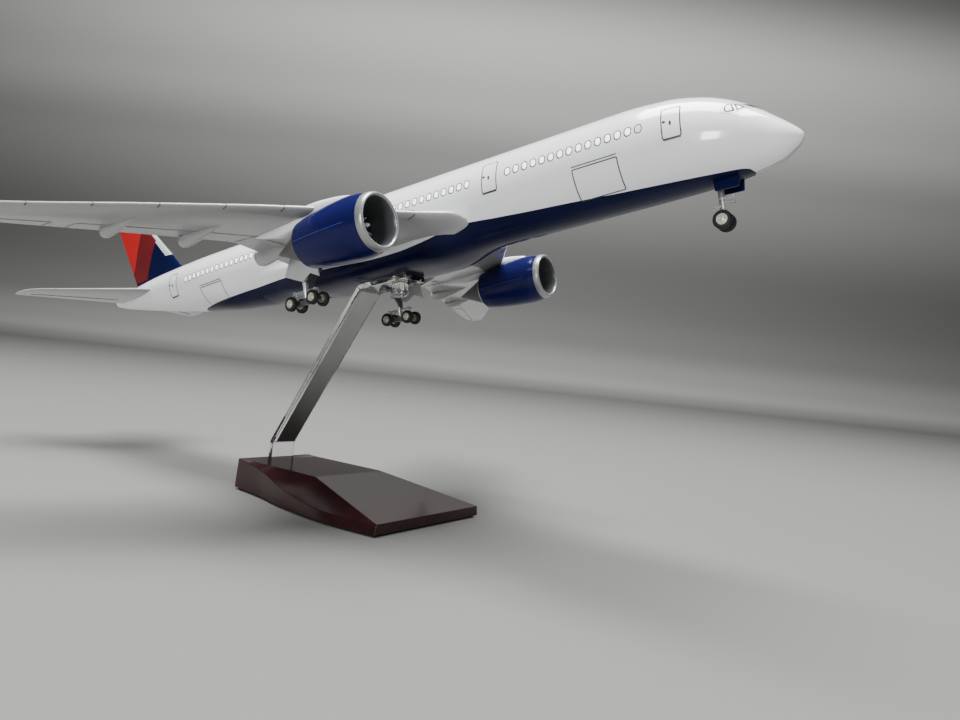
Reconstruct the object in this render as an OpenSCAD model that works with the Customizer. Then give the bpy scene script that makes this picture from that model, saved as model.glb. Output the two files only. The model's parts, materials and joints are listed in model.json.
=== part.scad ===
// Desktop airliner model: a twin-engine wide-body on a bent clear strut and a weighted base.
// Frame: +X towards the nose, +Y to port, +Z up, origin on the middle of the base's underside.
// Aircraft parts are drawn in the aircraft's own frame, as station (aft of the nose), port and up.

/* [Stand base] */
// Length of the base
base_l = 117.4; // [110:0.1:125]
// Width of the base at the rear edge
base_rear_w = 54.4; // [50:0.1:60]
// Width of the base at its widest
base_wide_w = 88.1; // [84:0.1:92]
// Width of the base at the front edge
base_front_w = 84.3; // [80:0.1:88]
// Height of the flat top above the desk
base_h = 17; // [16:0.1:20]
// Height of the front edge above the desk
base_front_h = 6.2; // [5.8:0.1:7]
// Wall of the hollow base moulding
base_wall = 2.2; // [1.8:0.1:2.4]

/* [Strut] */
// Width of the clear strip
strut_w = 17; // [15:0.1:18]
// Thickness of the clear strip
strut_t = 2.8; // [2.2:0.1:3]
// Lean of the strip from upright, in degrees
strut_lean = 31; // [30.5:0.1:31.5]
// Depth of the strut in the base
strut_depth = 11; // [8:0.5:12]

/* [Aircraft] */
// Radius of the cabin barrel
barrel_r = 21.2; // [21:0.05:21.4]
// Wall of the fuselage mouldings
shell_t = 1.6; // [1.2:0.1:2]
// Nose-up attitude on the stand, in degrees
pitch = 13.35; // [13.3:0.01:13.4]
// Half of the wing span
half_span = 228; // [226:0.5:230]
// Height of the fin tip above the cabin axis
fin_top = 82; // [78:0.5:84]
// Half of the stabiliser span
tail_half_span = 66.5; // [64:0.5:68]

/* [Engines] */
// Distance of each engine from the centre plane
engine_y = 72.9; // [72:0.1:74]
// Station of the intake lip
engine_s = 152.8; // [152:0.1:154]
// Height of the intake lip centre
engine_z = -21.9; // [-22.2:0.1:-21.6]
// Droop of the exhaust end, in degrees
engine_droop = 1; // [0.5:0.1:1.5]
// Number of fan blades
fan_blades = 14; // [10:1:18]

/* [Undercarriage] */
// Radius of a main tyre
main_tyre_r = 3.8; // [3.6:0.1:4]
// Radius of a nose tyre
nose_tyre_r = 3.9; // [3.7:0.1:4]
// Distance of each main leg from the centre plane
main_leg_y = 37.4; // [37:0.1:38]
// Half of the track between the two wheels on a bogie axle
bogie_half_track = 3.7; // [3.6:0.1:4]
// Distance between the two axles of a bogie
bogie_wheelbase = 15.2; // [14.6:0.1:15.6]
// Station of the nose axle
nose_axle_s = 34; // [33:0.1:35]

/* [Hidden] */
$fn = 48;
sides = [-1, 1];

// Fits
run_gap = 0.05;
part_gap = 0.05;

// Place of the aircraft's nose station and cabin axis over the base
nose_x = 213.5;
axis_z = 195.4;

// Smooth curve through a table of [x, y], which never overshoots its points
function cell(t, x, i = 0) = (i >= len(t) - 2 || x < t[i + 1][0]) ? i : cell(t, x, i + 1);
function rise(t, i) = (t[i + 1][1] - t[i][1]) / (t[i + 1][0] - t[i][0]);
function slope(t, i) =
    i == 0 ? rise(t, 0) :
    i == len(t) - 1 ? rise(t, i - 1) :
    let(a = rise(t, i - 1), b = rise(t, i)) a * b <= 0 ? 0 : 2 * a * b / (a + b);
function curve(t, x) =
    let(i = cell(t, x), w = t[i + 1][0] - t[i][0], u = (x - t[i][0]) / w)
    t[i][1] * (1 + 2 * u) * pow(1 - u, 2) + t[i + 1][1] * u * u * (3 - 2 * u)
    + w * (slope(t, i) * u * pow(1 - u, 2) - slope(t, i + 1) * u * u * (1 - u));

// A point from station, port and up
function at(s, y, z) = [-s, y, z];

function backwards(v) = [for (i = [len(v) - 1 : -1 : 0]) v[i]];

// Sum of the cross products round a ring, which points along its normal
function ring_normal(r, i = 0) =
    i >= len(r) - 1 ? [0, 0, 0] : cross(r[i] - r[0], r[i + 1] - r[0]) + ring_normal(r, i + 1);

// Solid skin over rings of points, closed by flat end caps, whichever way the rings run
module skin(loose_rings) {
    forward = ring_normal(loose_rings[0]) * (loose_rings[1][0] - loose_rings[0][0]) > 0;
    rings = forward ? loose_rings : [for (r = loose_rings) backwards(r)];
    n = len(rings[0]);
    m = len(rings);
    side_faces = [for (i = [0 : m - 2], j = [0 : n - 1]) each [
        [i * n + j, (i + 1) * n + j, i * n + (j + 1) % n],
        [(i + 1) * n + j, (i + 1) * n + (j + 1) % n, i * n + (j + 1) % n]
    ]];
    start_cap = [for (j = [0 : n - 1]) j];
    end_cap = [for (j = [n - 1 : -1 : 0]) (m - 1) * n + j];
    polyhedron([for (ring = rings) each ring], concat([start_cap, end_cap], side_faces));
}

// The aircraft on its stand
module aircraft() {
    translate([nose_x, 0, axis_z]) rotate([0, -pitch, 0]) children();
}

// Plate from an outline in station and up, t thick across the aircraft and centred on y
module side_plate(outline, y, t) {
    translate([0, y + t / 2, 0]) rotate([90, 0, 0])
        linear_extrude(t) polygon([for (p = outline) [-p[0], p[1]]]);
}

// ---------------------------------------------------------------- base

base_rear = -base_l / 2;
base_front = base_l / 2;
crease_x = 0.8;
base_lift = 1.2;
plan_half = [[base_rear, base_rear_w / 2], [-35, 31.5], [-5, 39.4], [29, base_wide_w / 2],
    [base_front, base_front_w / 2]];
shoulder_h = [[base_rear, base_h], [-40, 15.2], [-12, 10.2], [12, 7.0], [29, 6.0],
    [base_front, base_front_h]];
function ridge_half(x) = x < crease_x ? 24.6 + 0.8 * (x - base_rear) / (crease_x - base_rear)
    : 25.4 + (base_front_w / 2 - 0.6 - 25.4) * (x - crease_x) / (base_front - crease_x);
function ridge_h(x) = x < crease_x ? base_h
    : base_h + (base_front_h - base_h) * (x - crease_x) / (base_front - crease_x);
// Section of the base: inset moves the walls and the top in, floor_z is its lower edge
function base_ring(x, inset, floor_z) =
    let(b = curve(plan_half, x) - inset, s = min(curve(shoulder_h, x), ridge_h(x)) - inset,
        r = min(ridge_half(x), b + inset - 1.2) - inset, t = ridge_h(x) - inset)
    [[x, -b, floor_z], [x, -b + 0.8, s], [x, -r, t], [x, r, t], [x, b - 0.8, s], [x, b, floor_z]];
base_stations = [for (i = [1 : 11]) base_rear + i * (crease_x - base_rear) / 11,
    for (i = [1 : 8]) crease_x + i * (base_front - crease_x) / 9];
slot_x = -53.9;
slot_floor = base_h - strut_depth;
screw_at = [[-44, -20], [-44, 20], [34, -32], [34, 32]];
cover_t = 1.6;
cover_gap = 0.25;

module base_solid(inset, floor_z) {
    skin([base_ring(base_rear + inset, inset, floor_z),
        for (x = base_stations) base_ring(x, inset, floor_z),
        base_ring(base_front - inset, inset, floor_z)]);
}

module base_outline(inset) {
    xs = [for (i = [0 : 16]) base_rear + inset + i * (base_l - 2 * inset) / 16];
    polygon(concat([for (x = xs) [x, -curve(plan_half, x) + inset]],
        [for (i = [16 : -1 : 0]) [xs[i], curve(plan_half, xs[i]) - inset]]));
}

module base_block() {
    color("#4a1518") difference() {
        union() {
            difference() {
                base_solid(0, base_lift);
                base_solid(base_wall, 0);
            }
            intersection() {
                base_solid(0.4, base_lift + cover_t + 0.2);
                translate([slot_x, 0, base_h / 2])
                    cube([strut_t + 5, strut_w + 5, base_h + 4], center = true);
            }
            for (p = screw_at) translate([p[0], p[1], base_lift + cover_t]) intersection() {
                cylinder(r = 2.6, h = ridge_h(p[0]) - base_lift - cover_t - 1);
                cylinder(r = 3, h = 5);
            }
        }
        translate([slot_x, 0, slot_floor + strut_depth / 2 + 2])
            cube([strut_t + 2 * run_gap, strut_w + 2 * run_gap, strut_depth + 4], center = true);
        for (p = screw_at) translate([p[0], p[1], 0]) cylinder(r = 0.9, h = 5.6);
    }
}

module base_cover() {
    color("#1c1a1b") difference() {
        translate([0, 0, base_lift]) linear_extrude(cover_t) base_outline(base_wall + cover_gap + 0.5);
        for (p = screw_at) translate([p[0], p[1], 0]) {
            cylinder(r = 1.2, h = 5);
            cylinder(r = 2.1, h = base_lift + 0.8);
        }
    }
}

module base_pad() {
    color("#141414") linear_extrude(base_lift - part_gap) base_outline(1.6);
}

module base_ballast() {
    color("#8d9094") translate([-47, -17, base_lift + cover_t]) difference() {
        cube([56, 34, 7]);
        for (p = screw_at) translate([p[0] + 47, p[1] + 17, -1]) cylinder(r = 3.2, h = 12);
    }
}

module base_screws() {
    color("#b9bbbd") for (p = screw_at) translate([p[0], p[1], base_lift + part_gap]) {
        cylinder(r = 1.9, h = 0.7);
        cylinder(r = 0.85, h = 4);
    }
}

// ---------------------------------------------------------------- strut

// Centre line of the strip, from the slot floor to the tip under the belly
strut_bend_z = 26.4;
belly_z = -24.9;
screw_s = 203.5;
tongue_front_s = 193.5;
tongue_z = belly_z - strut_t / 2;
function level(s, z) = [nose_x - s * cos(pitch) - z * sin(pitch), axis_z - s * sin(pitch) + z * cos(pitch)];
tongue_front = level(tongue_front_s, tongue_z);
tongue_up = [-sin(pitch), cos(pitch)];
// Where the leaning strip's centre line meets the tongue's centre line
lean_dir = [sin(strut_lean), cos(strut_lean)];
bend_reach = ((tongue_front - [slot_x, strut_bend_z]) * tongue_up) / (lean_dir * tongue_up);
strut_line = [[slot_x, slot_floor + 0.1], [slot_x, strut_bend_z],
    [slot_x, strut_bend_z] + bend_reach * lean_dir, tongue_front];

// One side of a bent strip, offset by d from its centre line with round bends
function unit(v) = v / norm(v);
function left_of(v) = [-v[1], v[0]];
bend_r = 5;
function bend_points(i, d) =
    let(a = unit(strut_line[i] - strut_line[i - 1]), b = unit(strut_line[i + 1] - strut_line[i]),
        turn = a[0] * b[1] - a[1] * b[0] > 0 ? 1 : -1, angle = acos(a * b),
        start = strut_line[i] - a * bend_r * tan(angle / 2),
        middle = start + turn * bend_r * left_of(a), out = -turn * left_of(a))
    [for (k = [0 : 6]) let(g = turn * angle * k / 6, r = bend_r - turn * d)
        middle + r * [out[0] * cos(g) - out[1] * sin(g), out[0] * sin(g) + out[1] * cos(g)]];
function strip_side(d) = concat(
    [strut_line[0] + d * left_of(unit(strut_line[1] - strut_line[0]))],
    bend_points(1, d), bend_points(2, d),
    [strut_line[3] + d * left_of(unit(strut_line[3] - strut_line[2]))]);

module strut() {
    color("#dfe6e6", 0.35) difference() {
        translate([0, strut_w / 2, 0]) rotate([90, 0, 0]) linear_extrude(strut_w)
            polygon(concat(strip_side(strut_t / 2), backwards(strip_side(-strut_t / 2))));
        aircraft() translate(at(screw_s, 0, belly_z - strut_t - 1)) cylinder(r = 1.6, h = strut_t + 2);
    }
}

knob_r = 4.3;
knob_h = 6.6;
shank_r = 1.5;
module thumb_screw() {
    color("#e4eaea", 0.5) aircraft() translate(at(screw_s, 0, belly_z - strut_t - part_gap)) {
        difference() {
            translate([0, 0, -knob_h]) cylinder(r = knob_r, h = knob_h);
            for (a = [0 : 30 : 330]) rotate([0, 0, a]) translate([knob_r + 0.35, 0, -knob_h - 1])
                cylinder(r = 0.75, h = knob_h - 0.2, $fn = 16);
        }
        cylinder(r = shank_r, h = strut_t + part_gap + 3);
    }
}

module belly_insert() {
    color("#b08d3f") aircraft() translate(at(screw_s, 0, belly_z)) difference() {
        cylinder(r = 3, h = 3.5);
        translate([0, 0, -1]) cylinder(r = shank_r + run_gap, h = 6);
    }
}

// ---------------------------------------------------------------- fuselage

nose_end = 70;
tail_start = 290;
tail_end = 460;
// Nose outlines against the square root of the station, which keeps the tip round
nose_top = [[0, -9.8], [1, -7.6], [2, -4.4], [3, 0.2], [4, 6.2], [5, 12.1], [6, 16.7], [7, 19.7],
    [sqrt(nose_end), barrel_r], [9, barrel_r]];
nose_bottom = [[0, -9.8], [1, -12.2], [2, -14.6], [3, -17.5], [4, -19.1], [5, -20.3], [6, -20.9],
    [7, -21.15], [sqrt(nose_end), -barrel_r], [9, -barrel_r]];
nose_half = [[0, 0], [1, 3.1], [2, 6.5], [3, 10], [4, 13.4], [5, 16.5], [6, 19], [7, 20.6],
    [sqrt(nose_end), barrel_r], [9, barrel_r]];
tail_top = [[280, barrel_r], [tail_start, barrel_r], [345, 21], [400, 19.6], [440, 16.2], [tail_end, 12.9]];
tail_bottom = [[280, -barrel_r], [tail_start, -barrel_r], [320, -19.5], [350, -15.5], [380, -10.3],
    [420, -2.4], [450, 4.2], [tail_end, 7]];
tail_half = [[280, barrel_r], [tail_start, barrel_r], [340, 19.4], [380, 15.6], [420, 10.3], [450, 5.2],
    [tail_end, 3.1]];

// Half width, top and bottom of the fuselage at a station
function hull_size(s) =
    s < nose_end ? [curve(nose_half, sqrt(s)), curve(nose_top, sqrt(s)), curve(nose_bottom, sqrt(s))] :
    s > tail_start ? [curve(tail_half, s), curve(tail_top, s), curve(tail_bottom, s)] :
    [barrel_r, barrel_r, -barrel_r];
// A point on the fuselage, turned by angle a from the crown towards port, and moved out by d
function hull_point(s, a, d) =
    let(q = hull_size(s), k = (q[1] - q[2]) / 2)
    at(s, (q[0] + d) * sin(a), (q[1] + q[2]) / 2 + (k + d) * cos(a));
hull_sides = 32;
function hull_ring(s, d) = [for (i = [0 : hull_sides - 1]) hull_point(s, 360 * i / hull_sides, d)];
nose_steps = [for (u = [0.35, 0.7, 1, 1.5, 2, 2.5, 3, 3.5, 4, 4.5, 5, 5.5, 6, 6.5, 7, 7.6]) u * u];
tail_steps = [for (i = [0 : 15]) tail_start + i * (tail_end - tail_start) / 15];

window_z = 4.7;
window_r = 0.95;
// First station, number and pitch of the windows in each row
window_rows = [[58.3, 15, 4.457], [143, 36, 4.457], [303.1, 13, 4.71]];
window_stations = [for (row = window_rows, i = [0 : row[1] - 1]) row[0] + i * row[2]];

module window_bores(from_s, to_s) {
    for (s = window_stations) if (s > from_s && s < to_s)
        translate(at(s, 0, window_z)) rotate([90, 0, 0])
            cylinder(r = window_r, h = 2 * barrel_r + 4, center = true, $fn = 16);
}

module nose_shell() {
    color("#f4f5f6") aircraft() difference() {
        skin([for (s = nose_steps) hull_ring(s, 0), hull_ring(nose_end, 0)]);
        skin([for (s = nose_steps) if (s > 4) hull_ring(s, -shell_t), hull_ring(nose_end, -shell_t),
            [for (p = hull_ring(nose_end, -shell_t)) p - [1, 0, 0]]]);
        nose_bay();
    }
}

bay_s = [24.5, 36.5];
module nose_bay() {
    translate(at(bay_s[1], -3.2, -23)) cube([bay_s[1] - bay_s[0], 6.4, 8]);
}

barrel_l = tail_start - nose_end;
module barrel_tube(r) {
    translate(at(nose_end, 0, 0)) rotate([0, -90, 0]) cylinder(r = r, h = barrel_l, $fn = 96);
}

shelf_z = -6;
door_s = [252, 282];
door_w = 18;
module barrel_half(side) {
    difference() {
        union() {
            difference() {
                barrel_tube(barrel_r);
                translate([1, 0, 0]) scale([1.01, 1, 1]) barrel_tube(barrel_r - shell_t);
            }
            intersection() {
                barrel_tube(barrel_r - 0.4);
                for (s = [110, 180, 250]) translate(at(s + 6, side > 0 ? 14.5 : -24.5, shelf_z - 1.5))
                    cube([12, 10, 1.5]);
            }
        }
        translate(at(tail_start + 5, side > 0 ? -60 : 0, -30)) cube([barrel_l + 10, 60, 60]);
        window_bores(nose_end + 1, tail_start - 1);
        translate(at(door_s[1], -door_w / 2, -30)) cube([door_s[1] - door_s[0], door_w, 20]);
    }
}
module barrel_left() { color("#f4f5f6") aircraft() barrel_half(1); }
module barrel_right() { color("#f1f2f3") aircraft() barrel_half(-1); }

module tail_solid(from_s) {
    skin([for (s = tail_steps) if (s >= from_s) hull_ring(s, 0)]);
}
module tail_shell() {
    color("#f4f5f6") aircraft() difference() {
        tail_solid(tail_start);
        skin([[for (p = hull_ring(tail_start, -shell_t)) p + [1, 0, 0]],
            for (s = tail_steps) if (s < tail_end - 20) hull_ring(s, -shell_t)]);
        translate(at(tail_end + 1, 0, 10)) rotate([0, 90, 0]) cylinder(r = 1.5, h = 8, $fn = 24);
        window_bores(tail_start + 1, tail_end);
    }
}

// Belly fairing: the barrel's underside swelling into a flat bottom, as wide as the wing roots need
fairing_swell = [[108, 0], [120, 0.12], [133, 0.45], [146, 0.85], [158, 1], [245, 1],
    [262, 0.75], [280, 0.3], [298, 0]];
fairing_w = 24.6;
fairing_mid_z = -9;
fairing_top_z = -5;
fairing_r = barrel_r - 0.3;
function fairing_blend(s, flat, round) = let(e = curve(fairing_swell, s), p = round + e * (flat - round))
    at(s, p[0], p[1]);
function fairing_rim(s, side) =
    fairing_blend(s, [side * fairing_w * 0.86, fairing_top_z],
        [side * sqrt(pow(fairing_r, 2) - pow(fairing_top_z, 2)), fairing_top_z]);
function fairing_ring(s) =
    let(n = 14, low = belly_z - fairing_mid_z, start = asin(-fairing_mid_z / fairing_r))
    concat([fairing_rim(s, -1)],
        [for (i = [0 : n]) let(a = 180 * i / n, c = cos(a), b = start + (180 - 2 * start) * i / n)
            fairing_blend(s,
                [-fairing_w * sign(c) * pow(abs(c), 0.62), fairing_mid_z + low * pow(sin(a), 0.62)],
                [-fairing_r * cos(b), -fairing_r * sin(b)])],
        [fairing_rim(s, 1)]);
fairing_steps = [108, 114, 120, 127, 134, 142, 151, 160, 180, 203, 225, 245, 257, 270, 285, 298];

module belly_fairing() {
    color("#10163f") aircraft() difference() {
        skin([for (s = fairing_steps) fairing_ring(s)]);
        translate(at(50, 0, 0)) rotate([0, -90, 0]) cylinder(r = barrel_r + part_gap, h = 300, $fn = 96);
        for (side = sides) wing_stub(side, 0, 4);
        translate(at(screw_s, 0, belly_z - 1)) cylinder(r = 3, h = 5);
        translate(at(door_s[1], -door_w / 2, -30)) cube([door_s[1] - door_s[0], door_w, 20]);
    }
}

module battery_door() {
    color("#0e1334") aircraft() translate(at(door_s[1] - 0.15, -door_w / 2 + 0.15, -22.6))
        cube([door_s[1] - door_s[0] - 0.3, door_w - 0.3, 1.4]);
}

// Cockpit glazing: a wrap-around band, given as stations of its front and rear edge by angle
glass_front = [[0, 10.4], [20, 12], [34, 14.8], [42, 17.1], [51, 18.3], [60, 19.9], [66, 21.8],
    [69, 23.4]];
glass_rear = [[0, 16.4], [20, 18.8], [35, 21.6], [46, 24], [56, 26.4], [62, 26.8], [66, 26.5],
    [69, 25.5]];
module cockpit_glazing() {
    angles = [-69, -60, -48, -36, -24, -12, 0, 12, 24, 36, 48, 60, 69];
    lift = 0.1;
    thick = 0.25;
    function strip(a, d) = [for (k = [0 : 4]) let(s0 = curve(glass_front, abs(a)),
        s1 = curve(glass_rear, abs(a))) hull_point(s0 + (s1 - s0) * k / 4, a, d)];
    color("#3a3f45") aircraft()
        skin([for (a = angles) concat(strip(a, lift + thick), backwards(strip(a, lift)))]);
}

// ---------------------------------------------------------------- lights

strip_len = 212;
module light_strip(side) {
    color("#f6f8ff", 0.7) aircraft()
        translate(at(nose_end + 4 + strip_len, side > 0 ? 16.6 : -18, window_z - 1.8))
            cube([strip_len, 1.4, 3.6]);
}

module light_strip_left() { light_strip(1); }
module light_strip_right() { light_strip(-1); }

board_t = 1;
board_s = [100, 262];
module led_board() {
    color("#1f6b3a") aircraft() translate(at(board_s[1], -16.2, shelf_z))
        cube([board_s[1] - board_s[0], 32.4, board_t]);
}

// Row of surface lamps, a shake sensor and the driver chip
module board_components() {
    aircraft() translate([0, 0, shelf_z + board_t]) {
        color("#fff7d8") for (s = [108 : 18 : 252], side = sides)
            translate(at(s + 1, side * 12 - 1, 0)) cube([2, 2, 0.9]);
        color("#222222") translate(at(150, -3, 0)) cube([8, 6, 1.6]);
        color("#c9c9c9") translate(at(170, 0, 2)) rotate([0, 90, 0]) cylinder(r = 1.9, h = 9, $fn = 24);
        color("#c9c9c9") translate(at(169, -1.5, 0)) cube([7, 3, 0.6]);
    }
}

cell_r = 5.8;
cell_h = 5.4;
cells_s = [258, 264.2, 270.4];
tray_z = -14.9;
module battery_tray() {
    color("#2b2b2b") aircraft() difference() {
        translate(at(276.4, -8.4, -21)) cube([22.6, 16.8, 13]);
        translate(at(274.6, -6.1, -22)) cube([19.6, 12.2, 13.2]);
    }
}
module button_cells() {
    color("#cfd2d4") aircraft() for (s = cells_s) translate(at(s + cell_h / 2, 0, tray_z))
        rotate([0, 90, 0]) cylinder(r = cell_r, h = cell_h);
}

// ---------------------------------------------------------------- wings

// Wing by distance from the centre plane: leading edge, trailing edge, their heights, thickness
wing_le = [[22, 139.8], [28, 147.8], [34, 153.6], [40, 158.9], [172, 255.9], [190, 270.6], [205, 283.7],
    [214, 292], [221, 298.5], [225.5, 304], [half_span, 309.5]];
wing_te = [[22, 253], [48, 248], [74, 243.5], [211, 298], [219, 304.5], [225, 311], [half_span, 314]];
wing_le_z = [[22, -9.8], [90, -8.8], [130, -9.5], [175, -10.8], [200, -10.2], [212, -8.4],
    [222, -5.4], [half_span, -3.4]];
wing_te_z = [[22, -12.8], [50, -11.2], [80, -9.9], [130, -10.4], [175, -11], [200, -10.2],
    [212, -8.4], [222, -5], [half_span, -2.8]];
wing_t = [[22, 11], [48, 7.6], [74, 5.6], [120, 3.9], [170, 2.7], [211, 1.7], [225, 1.1],
    [half_span, 0.7]];
// Straight-line table, for outlines with corners
function line(t, x) = let(i = cell(t, x)) t[i][1] + rise(t, i) * (x - t[i][0]);
wing_steps = [22, 28, 34, 40, 48, 64, 74, 84, 106, 117, 138, 160, 182, 200, 211, 216, 220, 224, 226.5,
    half_span];

// Thickness of an airfoil, as a share of its greatest, at a share c of its chord
function foil(c) = c < 0.3 ? sqrt(1 - pow(1 - c / 0.3, 2))
    : pow(cos(90 * (c - 0.3) / 0.7), 1.15) * 0.94 + 0.06;
foil_steps = [0, 0.025, 0.09, 0.18, 0.3, 0.48, 0.68, 0.86, 1];
// Airfoil ring at port distance y from leading to trailing edge; camber lifts its upper side
function foil_ring(s0, s1, z0, z1, t) = concat(
    [for (c = foil_steps) [s0 + c * (s1 - s0), z0 + c * (z1 - z0) + 0.56 * t * foil(c)]],
    [for (i = [len(foil_steps) - 1 : -1 : 1]) let(c = foil_steps[i])
        [s0 + c * (s1 - s0), z0 + c * (z1 - z0) - 0.44 * t * foil(c)]]);
function wing_ring(y, side) =
    [for (p = foil_ring(line(wing_le, y), line(wing_te, y), curve(wing_le_z, y),
        curve(wing_te_z, y), curve(wing_t, y))) at(p[0], side * y, p[1])];

module wing(side) {
    skin([for (y = wing_steps) wing_ring(y, side)]);
}
// Part of the wing between two of its steps, with the same faces
module wing_stub(side, first, last) {
    skin([for (i = [first : last]) wing_ring(wing_steps[i], side)]);
}
module wing_left() { color("#d9dcdd") aircraft() wing(1); }
module wing_right() { color("#d9dcdd") aircraft() wing(-1); }

// Flap-track fairings: distance from the centre plane, front and rear station, depth
canoes = [[54, 212, 252.5, -17.4], [96, 221, 254.5, -15], [127, 237, 264.8, -14.1]];
canoe_profile = [[0, 0.05], [0.3, 0.45], [0.6, 0.85], [0.8, 1], [0.93, 0.8], [1, 0.3]];
module canoe(c, side) {
    half_w = 2.6;
    roof = -10.4;
    skin([for (u = [0 : 0.1 : 1.001]) let(k = curve(canoe_profile, min(u, 1)))
        [for (i = [0 : 11]) at(c[1] + u * (c[2] - c[1]), side * c[0] + half_w * k * sin(30 * i),
            roof - 0.9 * u + ((roof - c[3]) * k) * (cos(30 * i) < 0 ? 1 : 0.35) * cos(30 * i))]]);
}
module flap_fairings(side) {
    color("#cfd2d3") aircraft() difference() {
        for (c = canoes) canoe(c, side);
        wing_stub(side, 3, 11);
    }
}
module flap_fairings_left() { flap_fairings(1); }
module flap_fairings_right() { flap_fairings(-1); }

// ---------------------------------------------------------------- tail

fin_le = [[14, 372], [22, 387], [32.5, 397.2], [fin_top - 6, 440.5], [fin_top, 450.5]];
fin_te = [[14, 436.5], [60.6, 457.6], [fin_top - 3, 466], [fin_top, 462]];
fin_steps = [14, 20, 26, 32.5, 44, 56, 68, fin_top - 6, fin_top - 3, fin_top];
function fin_ring(z) = [for (p = foil_ring(line(fin_le, z), line(fin_te, z), 0, 0,
    5 - 3.4 * (z - 14) / (fin_top - 14))) at(p[0], p[1], z)];
module fin() {
    color("#1b2a7a") aircraft() difference() {
        skin([for (z = fin_steps) fin_ring(z)]);
        tail_solid(355);
    }
}

stab_le = [[3, 396], [61, 448.8], [64.5, 453.5], [tail_half_span, 461]];
stab_te = [[3, 449], [64, 471.7], [tail_half_span, 471.5]];
stab_steps = [3, 10, 20, 34, 48, 61, 64.5, tail_half_span];
function stab_ring(y, side) = let(z = 7.6 + 0.042 * (y - 3), t = 4.6 - 3.4 * (y - 3) / (tail_half_span - 3))
    [for (p = foil_ring(line(stab_le, y), line(stab_te, y), z, z, t)) at(p[0], side * y, p[1])];
module stabiliser(side) {
    color("#d5d8d8") aircraft() difference() {
        skin([for (y = stab_steps) stab_ring(y, side)]);
        tail_solid(385);
    }
}
module stabiliser_left() { stabiliser(1); }
module stabiliser_right() { stabiliser(-1); }

// ---------------------------------------------------------------- engines

duct_r = 9.9;
lip_l = 3.3;
lip_r = 12.5;
// The intake face leans forward at its top by this angle
lip_scarf = 4;
cowl_l = 41.4;
cowl_start = 1;
cowl_outer = [[cowl_start, lip_r - 0.1], [lip_l, lip_r], [7, 13.3], [12.5, 13.75], [20, 13.45],
    [28, 12.75], [35, 11.9], [cowl_l, 10.75]];
fan_z = 12;

// Engine frame: its axis runs aft along +Z from the middle of the intake lip
module engine(side) {
    aircraft() translate(at(engine_s, side * engine_y, engine_z)) rotate([0, -90 - engine_droop, 0])
        children();
}

// Turns the intake lip about the middle of its rear face
module scarfed() {
    translate([0, 0, lip_l]) rotate([0, lip_scarf, 0]) translate([0, 0, -lip_l]) children();
}

module intake_lip(side) {
    mid_r = (lip_r + duct_r) / 2;
    half_w = (lip_r - duct_r) / 2;
    color("#c9cbcc") engine(side) scarfed() rotate_extrude()
        polygon([for (a = [-90 : 15 : 90]) [mid_r + half_w * sin(a), lip_l - lip_l * cos(a)]]);
}

module cowl_solid(grow) {
    difference() {
        rotate_extrude() polygon(concat([[0, cowl_start]],
            [for (i = [0 : 12]) let(z = cowl_start + i * (cowl_l - cowl_start) / 12)
                [curve(cowl_outer, z) + grow, z]],
            [[0, cowl_l]]));
        scarfed() translate([0, 0, lip_l - 10]) cylinder(r = 20, h = 10);
    }
}
module cowl(side) {
    color("#101a70") difference() {
        engine(side) cowl_solid(0);
        engine(side) translate([0, 0, -1]) cylinder(r = duct_r, h = 31);
        engine(side) translate([0, 0, 29.9]) cylinder(r1 = duct_r, r2 = 9.9, h = cowl_l - 29.8);
        aircraft() wing_stub(side, 5, 7);
    }
}

fan_tip_r = duct_r - 0.35;
hub_r = 2.7;
fan_back = fan_z + 4.4;
module fan(side) {
    color("#3c3f44") engine(side) difference() {
        union() {
            rotate_extrude() polygon([[0, 6.3], [0.9, 7.2], [2, 9.4], [hub_r, fan_z], [hub_r, fan_back],
                [0, fan_back]]);
            for (i = [0 : fan_blades - 1]) rotate([0, 0, i * 360 / fan_blades])
                translate([0, 0, fan_z + 2.1]) rotate([52, 0, 0]) translate([2.2, -1.7, -0.25])
                    cube([fan_tip_r - 2.4, 3.4, 0.5]);
        }
        translate([0, 0, fan_z + 1]) cylinder(r = 1.2 + run_gap, h = 5);
    }
}

stator_z = 20;
// Front face of the engine core, behind the stator
core_z = stator_z + 4;
module stator(side) {
    color("#2e3034") engine(side) {
        translate([0, 0, fan_z + 1.3]) cylinder(r = 1.2, h = stator_z - fan_z);
        translate([0, 0, fan_back + 0.4]) cylinder(r = hub_r, h = core_z - fan_back - 0.4);
        for (i = [0 : 7]) rotate([0, 0, i * 45 + 22.5]) translate([2.2, -0.4, stator_z - 1])
            cube([duct_r - 2.3, 0.8, 5]);
    }
}

module exhaust(side) {
    color("#4a4c4c") engine(side) rotate_extrude()
        polygon([[0, core_z], [hub_r, core_z], [5.5, 29], [7.9, 36], [8.4, cowl_l],
            [7.9, cowl_l + 2.2], [0.35, 61], [0, 61.3]]);
}

// Pylon: side outline and plan outline in station, cut back from the cowl and the wing
pylon_side = [[164.5, -13], [165, -8.3], [169, -6.9], [178, -5.8], [187, -5.4], [196, -5.6], [204, -7],
    [229, -11.4], [222, -13.6], [210, -15.4], [200, -14.8]];
pylon_plan = [[164.5, 0], [168, 1.9], [174, 3.1], [184, 4], [196, 4.2], [210, 3.2], [220, 1.9], [230, 0.3]];
module pylon(side) {
    color("#e9ebec") difference() {
        aircraft() intersection() {
            side_plate(pylon_side, side * engine_y, 9);
            translate([0, side * engine_y, -40]) linear_extrude(60)
                polygon(concat([for (p = pylon_plan) [-p[0], p[1]]],
                    [for (p = backwards(pylon_plan)) [-p[0], -p[1]]]));
        }
        aircraft() wing_stub(side, 5, 7);
        engine(side) cowl_solid(0);
    }
}

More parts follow.
